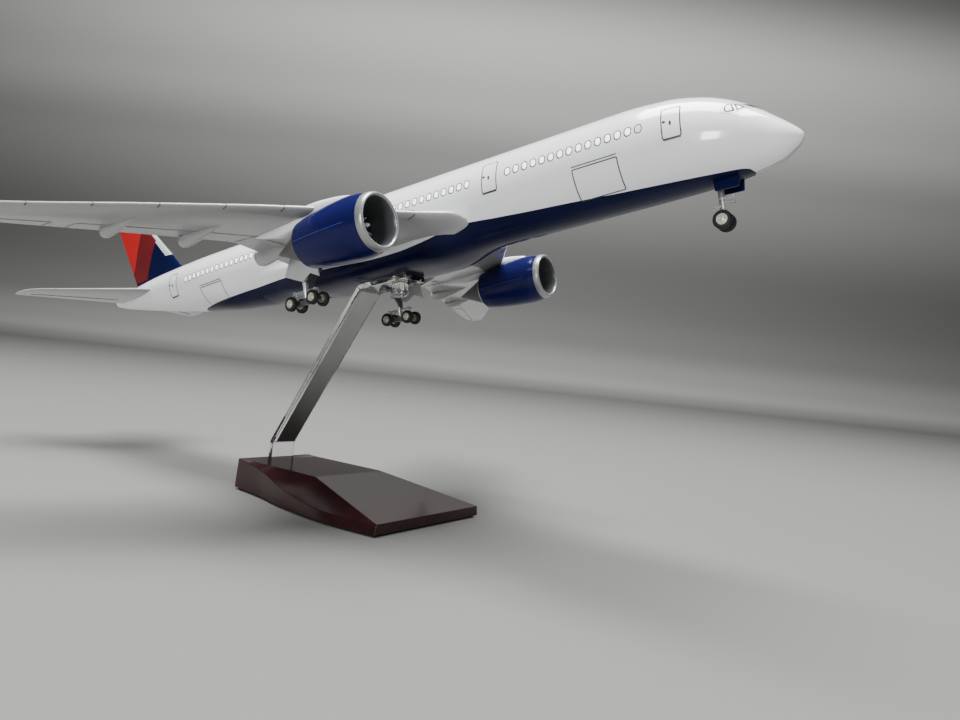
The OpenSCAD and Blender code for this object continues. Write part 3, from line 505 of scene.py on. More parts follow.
def fairing_split(s):
    """Where the navy belly starts on the fairing."""
    low, high = 0.0, RIM
    for _ in range(30):
        middle = (low + high) / 2
        if fairing_point(s, middle).z < curve(FAIRING_BELT, s):
            low = middle
        else:
            high = middle
    return middle


def belly_fairing():
    stations = (spread(FAIRING_START, 160, 30) + spread(163, 245, 24) + spread(247, FAIRING_END, 30))
    for name, low, high, slot in (
            ("belly_fairing_navy", lambda s: -fairing_split(s), fairing_split, "livery_navy"),
            ("belly_fairing_left", fairing_split, lambda s: 1, "fuselage_white"),
            ("belly_fairing_right", lambda s: -1, lambda s: -fairing_split(s), "fuselage_white")):
        columns = 72 if slot == "livery_navy" else 16
        rows = [[[fairing_point(s, g, d) for g in spread(low(s), high(s), columns)] for s in stations]
                for d in (0, -1)]
        on_model(name, slab(*rows), slot, ["belly_fairing"] if slot == "livery_navy" else ())


def battery_door():
    s0, s1, half = 252.15, 281.85, 8.85

    def surface(s, y, d):
        a, b = 0.0, RIM
        for _ in range(20):
            middle = (a + b) / 2
            a, b = (middle, b) if fairing_point(s, middle).y < abs(y) else (a, middle)
        return at(s, y, fairing_point(s, middle).z - d)
    door = Shape().add(patch(surface, spread(s0, s1, 16), spread(-half, half, 12), 0, 1.2))
    for k in range(5):
        door.add(patch(surface, spread(256 + 1.4 * k, 256.6 + 1.4 * k, 2), spread(-4, 4, 4), 0.15, 0.3))
    on_model("battery_door_panel", door, "livery_navy", ["battery_door"], bevel=0.12)


# First station, number and pitch of the windows in each row
WINDOW_ROWS = [(58.3, 15, 4.457), (143, 36, 4.457), (303.1, 13, 4.71)]
WINDOW_Z = 4.7
# Width and height of a rim's outer and inner edge, and of the lit pane
RIM_OUTER, RIM_INNER, PANE_SIZE = (3.35, 4.25), (2.55, 3.45), (2.2, 3.1)


def windows():
    for name, side in SIDES.items():
        panes, rims = Shape(), Shape()
        skin = side_skin(side)
        for first, count, pitch in WINDOW_ROWS:
            for i in range(count):
                s = first + i * pitch
                rims.add(band(skin, oval(s, WINDOW_Z, *RIM_OUTER), oval(s, WINDOW_Z, *RIM_INNER), 0.05))
                if s > WINDOW_ROWS[0][0]:
                    panes.add(inlay(skin, oval(s - 0.05, WINDOW_Z + 0.05, *PANE_SIZE), 0.02, crown=0.06))
        on_model("window_panes_" + name, panes, "window_light")
        on_model("window_rims_" + name, rims, "marking_grey", finish="rim_grey")


# Front and rear station, lower and upper height
CABIN_DOORS = [(41.1, 49, -3.6, 10.5), (126.5, 134.8, -2.6, 12.5), (370.8, 380, -3.2, 11.5)]
HOLD_DOORS = [(68.4, 89.4, -16.5, -4), (323, 345.5, -14.3, -3.8)]
DOOR_LINE = 0.5
# Height of a cabin door's sill from its lower edge, and of a hold door's hinge from its upper edge
SILL_LOW, SILL_HIGH = -0.3, 0.5
HINGE_LOW, HINGE_HIGH = 0.75, 1.15


def door_frame(skin, s0, s1, z0, z1, corner, per_side=12):
    """Even line round a door in the hull's side."""
    w, middle = DOOR_LINE, (s0 + s1) / 2
    low, high = line_rise(middle, z0, w), line_rise(middle, z1, w)
    return band(skin, rounded(s0, s1, z0, z1, corner, per_side),
                rounded(s0 + w, s1 - w, z0 + low, z1 - high, corner - w, per_side), 0.04)


def door_lines():
    for name, side in SIDES.items():
        lines, metal = Shape(), Shape()
        skin = side_skin(side)
        for s0, s1, z0, z1 in CABIN_DOORS:
            lines.add(door_frame(skin, s0, s1, z0, z1, 1.2))
            sill = spread(z0 + SILL_LOW, z0 + SILL_HIGH, 2)
            metal.add(patch(skin, spread(s0 + 0.5, s1 - 0.5, 8), sill, 0.25, 0.35))
            middle = (z0 + z1) / 2
            lines.add(inlay(skin, oval(s1 - 1.3, middle + 0.6, 1.3, 1.1, 12), 0.08))
            lines.add(inlay(skin, oval((s0 + s1) / 2 + 0.2, middle - 0.4, 1, 2, 12), 0.08))
        for s0, s1, z0, z1 in HOLD_DOORS:
            lines.add(door_frame(skin, s0, s1, z0, z1, 0.8, 16))
            hinge = spread(z1 + HINGE_LOW, z1 + HINGE_HIGH, 2)
            metal.add(patch(skin, spread(s0 + 0.2, s1 - 0.2, 16), hinge, 0.14, 0.2))
        on_model("door_lines_" + name, lines, "marking_grey")
        on_model("door_hinges_" + name, metal, "marking_grey", finish="hinge_grey")


# Front and rear edge of the cockpit's visor, by angle from the crown
VISOR_EDGE = 69
GLASS_FRONT = [(0, 10.4), (20, 12), (34, 14.8), (42, 17.1), (51, 18.3), (60, 19.9), (66, 21.8), (69, 23.4)]
GLASS_REAR = [(0, 16.4), (20, 18.8), (35, 21.6), (46, 24), (56, 26.4), (62, 26.8), (66, 26.5), (69, 25.5)]
# Share of a pane's outline, in station and in angle, that its glass fills
GLASS_SHARE_S, GLASS_SHARE_G = 0.66, 0.76
# Panes of one side, as station and angle from the crown
SIDE_PANES = [[(22.8, 45.8), (24.6, 50.2), (25.3, 59), (25.1, 65.3), (23.8, 66.6), (21.4, 61.5)],
              [(21.9, 43.9), (19.7, 39), (18.1, 45.4), (20.7, 60.2)]]
WINDSHIELD = [(11.7, 2), (12.3, 12), (13.7, 24), (16.1, 35), (19.3, 37.2), (17.9, 28), (16.2, 14),
              (15.1, 2)]


def visor_point(angle, share, d):
    front, rear = curve(GLASS_FRONT, abs(angle)), curve(GLASS_REAR, abs(angle))
    return hull_point(front + (rear - front) * share, angle, d)


def dense(outline, n=8):
    """Outline with n points on each of its edges."""
    return [(a[0] + (b[0] - a[0]) * k / n, a[1] + (b[1] - a[1]) * k / n)
            for a, b in zip(outline, outline[1:] + outline[:1]) for k in range(n)]


def cockpit():
    on_model("cockpit_frame", patch(visor_point, spread(-VISOR_EDGE, VISOR_EDGE, 92), spread(0, 1, 14),
                                    0.12, 0.3), "cockpit_glass", ["cockpit_glazing"], finish="visor_grey")
    panes, shields, outlines = Shape(), Shape(), Shape()
    for side in SIDES.values():
        def surface(s, angle, d):
            return hull_point(s, side * angle, d)
        for corners in SIDE_PANES + [WINDSHIELD]:
            cs = sum(s for s, g in corners) / len(corners)
            cg = sum(g for s, g in corners) / len(corners)
            inner = dense([(cs + (s - cs) * GLASS_SHARE_S, cg + (g - cg) * GLASS_SHARE_G)
                           for s, g in corners])
            outlines.add(inlay(surface, dense(corners), 0.17))
            (shields if corners is WINDSHIELD else panes).add(inlay(surface, inner, 0.22, crown=0.03))
    on_model("cockpit_outlines", outlines, "marking_grey", finish="outline_black")
    on_model("cockpit_side_panes", panes, "cockpit_glass")
    on_model("cockpit_windshield", shields, "cockpit_glass", finish="shield_dark")


# ---------------------------------------------------------------- wings and tail

WING_LE = [(18, 145.5), (20, 145.4), (22, 145.8), (24, 146.3), (26, 147), (28, 148), (34, 153.6),
           (40, 158.9), (172, 255.9), (190, 270.6), (205, 283.7), (214, 292), (221, 298.5), (225.5, 304),
           (228, 309.5)]
WING_TE = [(22, 253), (48, 248), (74, 243.5), (211, 298), (219, 304.5), (225, 311), (228, 314)]
WING_LE_Z = [(18, -12.7), (20, -11.7), (22, -10.9), (24, -10.3), (26, -10), (28, -9.8), (34, -9.6),
             (90, -8.8), (130, -9.5), (175, -10.8), (200, -10.2), (212, -8.4), (222, -5.4), (228, -3.4)]
WING_TE_Z = [(22, -12.8), (50, -11.2), (80, -9.9), (130, -10.4), (175, -11), (200, -10.2), (212, -8.4),
             (222, -5), (228, -2.8)]
WING_T = [(22, 11), (48, 7.6), (74, 5.6), (120, 3.9), (170, 2.7), (211, 1.7), (225, 1.1), (228, 0.7)]
UPPER, LOWER = 0.56, -0.44


def foil(c):
    """Thickness of an airfoil as a share of its greatest, at a share c of its chord."""
    if c < 0.3:
        return sqrt(max(0.0, 1 - (1 - c / 0.3) ** 2))
    return max(cos(radians(90 * (c - 0.3) / 0.7)), 0) ** 1.15 * 0.94 + 0.06


def chord_steps(n):
    """Steps along the chord, closer at the leading edge."""
    return [t * t * (1.6 - 0.6 * t) for t in spread(0, 1, n)]


def foil_ring(put, n=26):
    steps = chord_steps(n)
    return [put(c, UPPER) for c in steps] + [put(c, LOWER) for c in reversed(steps[1:])]


def wing_point(y, c, share, side, d=0.0):
    s0, s1 = line(WING_LE, y), line(WING_TE, y)
    z0, z1 = curve(WING_LE_Z, y), curve(WING_TE_Z, y)
    z = z0 + c * (z1 - z0) + share * curve(WING_T, y) * foil(c) + copysign(d, share)
    return at(s0 + c * (s1 - s0), side * y, z)


def wing(side, name):
    ys = spread(18, 40, 11) + spread(43, 205, 60) + spread(206.5, 226, 16) + [226.8, 227.5, 228]
    rings = [foil_ring(lambda c, share: wing_point(y, c, share, side)) for y in ys]
    on_model("wing_skin_" + name, loft(rings), "wing_grey", ["wing_" + name], sharp=50)


# Distances from the centre plane of the gaps between the slats, and of the flap ends
SLAT_GAPS = [40.5, 87, 106, 126.5, 146, 164.5, 184]
FLAP_ENDS = [30, 74, 140, 148, 198]


def wing_lines(side, name):
    """Gaps between the slats on the leading edge, and fine lines round the flaps."""
    gaps, lines = Shape(), Shape()

    def skin(share):
        return lambda y, s, d: wing_point(y, (s - line(WING_LE, y)) / (line(WING_TE, y) - line(WING_LE, y)),
                                          share, side, d)

    def along(shape, share, y0, y1, chord, width):
        """Line at a share of the chord from y0 to y1."""
        def edge(y):
            return line(WING_LE, y) + chord * (line(WING_TE, y) - line(WING_LE, y))
        shape.add(patch(skin(share), spread(y0, y1, 40), lambda y: (edge(y), edge(y) + width), 0.02, 0.2))

    def across(shape, share, y, c0, c1, width):
        """Line along the chord at one distance from the centre plane."""
        s0, s1 = (line(WING_LE, y) + c * (line(WING_TE, y) - line(WING_LE, y)) for c in (c0, c1))
        surface = skin(share)
        shape.add(patch(lambda s, t, d: surface(y + t, s, d), spread(s0, s1, 12), (0, width), 0.02, 0.2))

    for share in (UPPER, LOWER):
        for y in SLAT_GAPS:
            across(gaps, share, y, 0.003, 0.1 if share == UPPER else 0.05, 0.28)
        along(lines, share, FLAP_ENDS[0], FLAP_ENDS[2], 0.74, 0.18)
        along(lines, share, FLAP_ENDS[3], FLAP_ENDS[4], 0.76, 0.18)
        for y in FLAP_ENDS:
            across(lines, share, y, 0.75, 0.985, 0.18)
    along(lines, UPPER, SLAT_GAPS[1], 205, 0.11, 0.18)
    on_model("slat_gaps_" + name, gaps, "marking_grey")
    on_model("flap_lines_" + name, lines, "marking_grey", finish="line_grey")


CANOES = [(54, 212, 252.5, -17.4), (96, 221, 254.5, -15), (127, 237, 264.8, -14.1)]
CANOE_PROFILE = [(0, 0.05), (0.3, 0.45), (0.6, 0.85), (0.8, 1), (0.93, 0.8), (1, 0.3)]


def flap_fairings(side, name):
    half_w, roof = 2.6, -10.4
    shape = Shape()
    for y, s0, s1, low in CANOES:
        rings = []
        for u in spread(0, 1, 40):
            k = curve(CANOE_PROFILE, u)
            ring = []
            for g in range(28):
                a = tau * g / 28
                depth = (roof - low) * k * (1 if cos(a) < 0 else 0.35)
                ring.append(at(s0 + u * (s1 - s0), side * y + half_w * k * sin(a),
                               roof - 0.9 * u + depth * cos(a)))
            rings.append(ring)
        tip = sum(rings[-1], Vector()) / len(rings[-1])
        for share, back in ((0.8, 0.12), (0.4, 0.2)):
            rings.append([tip + (p - tip) * share + at(back, 0, 0) for p in rings[40]])
        shape.add(loft(rings))
    on_model("flap_track_fairings_" + name, shape, "wing_grey", ["flap_fairings_" + name])


FIN_LE = [(14, 372), (22, 387), (32.5, 397.2), (76, 440.5), (82, 450.5)]
FIN_TE = [(14, 436.5), (60.6, 457.6), (79, 466), (82, 462)]
FIN_LOW, FIN_TOP = 14, 82
STRIPE_Z, STRIPE_LEAN = 20, -0.428
RUDDER_LOW, RUDDER_TOP = 22, 78


def fin_point(z, c, share, d=0.0):
    s0, s1 = line(FIN_LE, z), line(FIN_TE, z)
    t = 5 - 3.4 * (z - FIN_LOW) / (FIN_TOP - FIN_LOW)
    return at(s0 + c * (s1 - s0), share * t * foil(c) + copysign(d, share), z)


def fin():
    zs = spread(FIN_LOW, 76, 50) + spread(76.8, 81.4, 6) + [81.8, 82]
    rings = [foil_ring(lambda c, share: fin_point(z, c, copysign(0.5, share))) for z in zs]
    on_model("fin_skin", loft(rings), "livery_navy", ["fin"], sharp=50)

    def on_fin(share):
        def surface(z, s, d):
            s0, s1 = line(FIN_LE, z), line(FIN_TE, z)
            return fin_point(z, min(max((s - s0) / (s1 - s0), 0.0), 1.0), share, d)
        return surface

    def stripe(low_s, high_s):
        """Diagonal stripe over both faces, cut to the fin's outline."""
        shape = Shape()
        for share in (-0.5, 0.5):
            def edges(z):
                first = line(FIN_LE, z) + 0.075 * (line(FIN_TE, z) - line(FIN_LE, z))
                last = line(FIN_TE, z) - 0.3
                a = min(max(low_s + STRIPE_LEAN * (z - STRIPE_Z), first), last)
                b = min(max(high_s + STRIPE_LEAN * (z - STRIPE_Z), first), last)
                return spread(a, b, 10)
            rows = [z for z in spread(STRIPE_Z, FIN_TOP - 0.15, 60) if edges(z)[-1] - edges(z)[0] > 0.3]
            shape.add(patch(on_fin(share), rows, edges, 0.04, 0.25))
        return shape

    on_model("fin_stripe_red", stripe(445, 600), "livery_red")
    on_model("fin_stripe_maroon", stripe(424.7, 445), "livery_red", finish="livery_maroon")
    rings = [[fin_point(z, c, share, 0.07) for c, share in
              [(c, 0.5) for c in (0.12, 0.085, 0.055, 0.035, 0.02, 0.01, 0.003)]
              + [(c, -0.5) for c in (0.003, 0.01, 0.02, 0.035, 0.055, 0.085, 0.12)]]
             for z in spread(32.5, 76.5, 40)]
    on_model("fin_leading_edge", loft(rings), "livery_navy", finish="fin_white")

    def rudder_edges(z):
        front = line(FIN_TE, z) - 13 + 0.09 * (z - RUDDER_LOW)
        return front, front + 0.25

    rudder = Shape()
    for share in (-0.5, 0.5):
        rudder.add(patch(on_fin(share), spread(RUDDER_LOW, RUDDER_TOP, 40), rudder_edges, 0.06, 0.2))
    on_model("rudder_line", rudder, "marking_grey")


STAB_LE = [(3, 396), (61, 448.8), (64.5, 453.5), (66.5, 461)]
STAB_TE = [(3, 449), (64, 471.7), (66.5, 471.5)]
STAB_ROOT, STAB_TIP = 3, 66.5
STAB_Z, STAB_RISE = 7.6, 0.042


def stab_point(y, c, share, side, d=0.0):
    s0, s1 = line(STAB_LE, y), line(STAB_TE, y)
    t = 4.6 - 3.4 * (y - STAB_ROOT) / (STAB_TIP - STAB_ROOT)
    return at(s0 + c * (s1 - s0), side * y, STAB_Z + STAB_RISE * (y - STAB_ROOT) + share * t * foil(c)
              + copysign(d, share))


def stabiliser(side, name):
    ys = spread(STAB_ROOT, 61, 30) + [62, 63, 64, 64.5, 65, 65.6, 66.2, STAB_TIP]
    rings = [foil_ring(lambda c, share: stab_point(y, c, share, side)) for y in ys]
    on_model("stabiliser_skin_" + name, loft(rings), "wing_grey", ["stabiliser_" + name], sharp=50)
    shape = Shape()
    for share in (UPPER, LOWER):
        shape.add(patch(lambda y, c, d: stab_point(y, c, share, side, d), spread(14, 60, 24),
                        lambda y: (0.7, 0.7 + 0.25 / (line(STAB_TE, y) - line(STAB_LE, y))), 0.03, 0.2))
    on_model("elevator_line_" + name, shape, "marking_grey")


# ---------------------------------------------------------------- engines

ENGINE_S, ENGINE_Y, ENGINE_Z, ENGINE_DROOP = 152.8, 72.9, -21.9, 1
DUCT_R, LIP_R, LIP_L, LIP_SCARF, COWL_L = 9.9, 12.5, 3.3, 4, 41.4
COWL_OUTER = [(1, 12.4), (LIP_L, LIP_R), (7, 13.3), (12.5, 13.75), (20, 13.45), (28, 12.75), (35, 11.9),
              (COWL_L, 10.75)]
FAN_Z, HUB_R, FAN_BACK, FAN_TIP_R, FAN_BLADES = 12, 2.7, 16.4, 9.55, 14
CORE_END = 43.6


def engine_frame(side):
    return AIRCRAFT @ shift(-ENGINE_S, side * ENGINE_Y, ENGINE_Z) @ turn(-90 - ENGINE_DROOP, "Y")


def scarfed(form, reach=0.0):
    """Leans the front of a form forward at its top; the lean fades out over its reach."""
    points, faces = form
    lean = tan(radians(LIP_SCARF))
    leant = []
    for x, y, z in points:
        fade = 1 if reach == 0 or z < LIP_L else max(0.0, 1 - (z - LIP_L) / reach)
        leant.append(Vector((x, y, z - x * lean * fade)))
    return leant, faces


def blade_point(turned, u, t, face):
    """Point on a twisted fan blade: u from root to tip, t from its front edge to its rear edge."""
    r = HUB_R - 0.2 + (FAN_TIP_R - HUB_R + 0.2) * u
    twist = radians(30 + 30 * u)
    half = (2.6 + 0.9 * u - 0.5 * u ** 4) / 2
    across = face * (0.2 - 0.12 * u) * (1 - t * t) + face * 0.03 + 0.2 * (1 - t * t)
    x = t * half * sin(twist) + across * cos(twist) + 0.4 * u * u
    z = t * half * cos(twist) - across * sin(twist)
    a = turned + x / r
    return Vector((r * cos(a), r * sin(a), FAN_Z + 2.1 + z))


def engine(side, name):
    place = engine_frame(side)
    mid_r, half_w = (LIP_R + DUCT_R) / 2, (LIP_R - DUCT_R) / 2

    def lip(a, d=0.0):
        a = radians(a)
        return mid_r + (half_w + d) * sin(a), LIP_L - (LIP_L + d) * cos(a)
    piece("intake_ring_" + name, scarfed(lathe([lip(a) for a in spread(-90, 90, 24)], 96, closed=True)),
          place,
          "model", "lip_silver", ["intake_lip_" + name])
    outer = [(curve(COWL_OUTER, z), z) for z in spread(LIP_L + 0.12, COWL_L, 40)]
    inner = [(9.95, COWL_L), (9.95, 30), (DUCT_R, LIP_L + 0.12)]
    cowl = lathe([(LIP_R - 0.12, LIP_L + 0.02)] + outer + inner, 96, closed=True)
    piece("cowl_skin_" + name, scarfed(cowl, 9), place, "model", "cowl_navy", ["cowl_" + name])
    liner = [lip(a, 0.06) for a in spread(-38, -90, 8)]
    liner += [(DUCT_R - 0.12, z) for z in (LIP_L + 0.6, 7, 12, 17, 20, 27)]
    liner += [(DUCT_R + 0.02, 27), (DUCT_R + 0.02, LIP_L + 0.6)] + [lip(a, -0.1)
                                                                    for a in spread(-88, -38, 6)]
    piece("duct_liner_" + name, scarfed(lathe(liner, 96, closed=True), 9), place, "model", "fan_dark",
          finish="duct_grey")
    seams = Shape()
    for g in (-96, 96):
        def seam(z, t, d):
            r = curve(COWL_OUTER, z) + d
            a = radians(g) + t / r
            return Vector((r * cos(a), r * sin(a), z))
        seams.add(patch(seam, spread(9, COWL_L - 0.3, 24), (-0.08, 0.08), 0.02, 0.2))
    piece("cowl_seams_" + name, seams, place, "model", "cowl_navy", finish="seam_blue")
    core = [(7.6, COWL_L - 3), (8.5, COWL_L - 3), (8.55, COWL_L - 0.4), (8.25, CORE_END - 0.5),
            (8.1, CORE_END), (7.7, CORE_END)]
    piece("core_ring_" + name, lathe(core, 64, closed=True), place, "model", "exhaust_grey",
          finish="core_grey")
    spinner = [(0, 6.3), (0.25, 6.5), (0.6, 7), (1.2, 8.5), (1.9, 10.4), (2.5, FAN_Z - 0.3),
               (HUB_R, FAN_Z + 0.6), (HUB_R, FAN_BACK - 0.1), (1.35, FAN_BACK), (1.35, FAN_Z + 1),
               (0, FAN_Z + 1)]
    fan, edges = Shape().add(lathe(spinner, 48)), Shape()
    for k in range(FAN_BLADES):
        turned = tau * k / FAN_BLADES
        fan.add(slab(*([[blade_point(turned, u, t, face) for t in spread(-1, 1, 6)]
                        for u in spread(0, 1, 9)]
                       for face in (-1, 1))))
        # Bright rods along each blade's front edge are painted highlights
        for u in spread(0.12, 0.9, 8)[:-1]:
            edges.add(rod(blade_point(turned, u, -1, 0), blade_point(turned, u + 0.1, -1, 0), 0.2, sides=8))
    piece("fan_rotor_" + name, fan, place, "fan_" + name, "fan_dark", ["fan_" + name])
    piece("fan_blade_painted_highlights_" + name, edges, place, "fan_" + name, "fan_dark", finish="silver_and_painted_glint")
    # Light grey spinner tip, with a painted glint from its glow
    cap = [(0, 6.22), (0.28, 6.4), (0.66, 6.98), (0.98, 7.8), (0.9, 7.9), (0, 7.9)]
    piece("spinner_cap_" + name, lathe(cap, 32), place, "fan_" + name, "fan_dark", finish="silver_and_painted_glint")
    exhaust = [(0, 24), (2.7, 24), (5.5, 29), (7.9, 36), (8.4, COWL_L), (7.95, CORE_END), (0.35, 61),
               (0, 61.3)]
    piece("exhaust_cone_" + name, lathe(exhaust, 64), place, "model", "exhaust_grey", ["exhaust_" + name])


PYLON_START, PYLON_END = 164.5, 229
PYLON_TOP = [(164.5, -10), (165.2, -8.2), (169, -6.9), (178, -5.8), (187, -5.4), (196, -5.6), (204, -7),
             (216, -9.2), (229, -11.4)]
PYLON_LOW = [(164.5, -10.9), (188, -11.2), (194, -12), (200, -14.8), (210, -15.4), (222, -13.6),
             (229, -11.6)]
PYLON_HALF = [(164.5, 0.15), (168, 1.9), (174, 3.1), (184, 4), (196, 4.2), (210, 3.2), (220, 1.9),
              (229, 0.4)]


def pylon(side, name):
    rings = []
    for s in spread(PYLON_START, PYLON_END, 52):
        top, low, half = curve(PYLON_TOP, s), curve(PYLON_LOW, s), curve(PYLON_HALF, s)
        ring = []
        for k in range(28):
            a = tau * k / 28
            y = half * copysign(abs(sin(a)) ** 0.7, sin(a))
            z = (top + low) / 2 + (top - low) / 2 * copysign(abs(cos(a)) ** 0.7, cos(a))
            ring.append(at(s, side * ENGINE_Y + y, z))
        rings.append(ring)
    on_model("pylon_skin_" + name, loft(rings), "fuselage_white", ["pylon_" + name])


# ---------------------------------------------------------------- undercarriage

def tyre(half_track, rim, radius, width):
    """Two tyres on an axle along y, with a groove on each side of the tread."""
    half = width / 2
    profile = [(rim + 0.02, -half + 0.35), (rim + 0.18, -half + 0.1), (rim + 0.5, -half)]
    profile += [(radius - 1.15 + 1.0 * sin(a), -half + 0.02 + 1.0 * (1 - cos(a)))
                for a in (radians(g) for g in spread(10, 78, 6))]
    for z in (-0.62, 0, 0.62):
        profile += [(radius - 0.02, z - 0.13), (radius - 0.2, z - 0.08), (radius - 0.2, z + 0.08),
                    (radius - 0.02, z + 0.13)]
    mirrored = [(r, -z) for r, z in reversed(profile[:9])]
    shape = Shape()
    for side in SIDES.values():
        shape.add(lathe(profile + mirrored, 48, closed=True),
                  shift(0, side * half_track, 0) @ turn(90, "X"))
    return shape


def hub(half_track, rim, width, axle_r):
    """Two dished hubs with bolts and a cap, on their axle."""
    half = width / 2
    shape = Shape().add(rod((0, -half_track, 0), (0, half_track, 0), axle_r, sides=24))
    face = [(0, -half + 0.3), (rim * 0.9, -half + 0.3), (rim, -half), (rim, half), (rim - 0.28, half),
            (rim - 0.5, half - 0.2), (rim - 0.72, half - 0.72), (rim * 0.42, half - 0.5),
            (rim * 0.38, half - 0.12), (rim * 0.3, half), (rim * 0.14, half + 0.06), (0, half + 0.06)]
    for side in SIDES.values():
        place = shift(0, side * half_track, 0) @ turn(-90 * side, "X")
        shape.add(lathe(face, 48), place)
        for k in range(8):
            a = tau * k / 8
            r = rim * 0.56
            shape.add(rod((r * cos(a), r * sin(a), half - 0.75),
                          (r * cos(a), r * sin(a), half - 0.36), rim * 0.065, sides=10), place)
    return shape


MAIN_S, MAIN_Y, WHEELBASE = 234.3, 37.4, 15.2
# Height and nose-up tilt of each bogie
BOGIE = {"left": (-37, -2.8), "right": (-36.2, 3.5)}
MAIN_TRACK, MAIN_RIM, MAIN_TYRE, MAIN_TYRE_W, AXLE_R = 3.7, 2.1, 3.8, 2.6, 0.75
NOSE_AXLE = (34, 0, -36)
# Degrees round the hull for each millimetre across the nose gear's bay
BAY_TURN = 57.3 / 20
NOSE_TRACK, NOSE_RIM, NOSE_TYRE, NOSE_TYRE_W = 3, 2.25, 3.9, 2.6


def nose_gear():
    place = AIRCRAFT @ Matrix.Translation(at(*NOSE_AXLE))
    piece("nose_tyre_pair", tyre(NOSE_TRACK, NOSE_RIM, NOSE_TYRE, NOSE_TYRE_W), place, "nose_wheelset",
          "tyre_black", ["nose_tyres"])
    piece("nose_hub_pair", hub(NOSE_TRACK, NOSE_RIM, 2.3, 0.55), place, "nose_wheelset", "wheel_hub",
          ["nose_wheels"])
    leg = Shape()
    leg.add(lathe([(0, -1.3), (0.8, -1.3), (1.05, -1), (1.05, 8.9), (1.3, 9.2), (1.3, 10), (1.1, 10.3),
                   (1.1, 13.6),
                   (1.5, 14), (1.5, 20), (0, 20)], 32), shift(0.3, 0, 0))
    leg.add(rod((0.9, 0, 7.6), (1.5, 0, 7.6), 0.45))
    leg.add(rod((1.3, 0, 7.6), (5.25, 0, 7.15), 0.4, 0.9))
    leg.add(rod((1.1, 0, 9.3), (5, 0, 9.6), 0.3))
    leg.add(block((0.6, 2.2, 0.6), (5, 0, 9.6)))
    leg.add(plate([(-0.6, 6.6), (-4, 6.6), (-4.2, 6.2), (-0.6, 5.9)], 1))
    leg.add(plate([(-4.2, 6.5), (-3.3, 4.4), (-2.8, 4.6), (-3.6, 6.6)], 1))
    leg.add(block((2.2, 5, 3), (-0.1, 0, 18.4)))
    piece("nose_leg_strut", leg, place, "model", "gear_metal", ["nose_leg"], bevel=0.1)
    side_rods = Shape().add(rod((-0.95, 0, 1.1), (-0.95, 0, 14), 0.25))
    side_rods.add(rod((-1.2, 0, 15), (-3.2, 0, 18.6), 0.35))
    piece("nose_leg_rods", side_rods, place, "model", "gear_metal", finish="brace_grey")
    doors = Shape()
    outline = [(-24.6, -17.2), (-35.6, -17.6), (-35.2, -24.0), (-34.8, -24.2), (-25.8, -24.4),
               (-25.4, -24.1)]
    for side in SIDES.values():
        doors.add(plate(outline, 0.8), shift(0, side * 3.9, 0))
    on_model("nose_door_pair", doors, "livery_navy", ["nose_doors"], bevel=0.15)
    bay = Shape().add(patch(lambda s, y, d: hull_point(s, 180 - y * BAY_TURN, d), spread(24.8, 36.2, 8),
                            spread(-3.2, 3.2, 6), 0.04, 0.3))
    on_model("nose_bay_panel", bay, "inner_black")


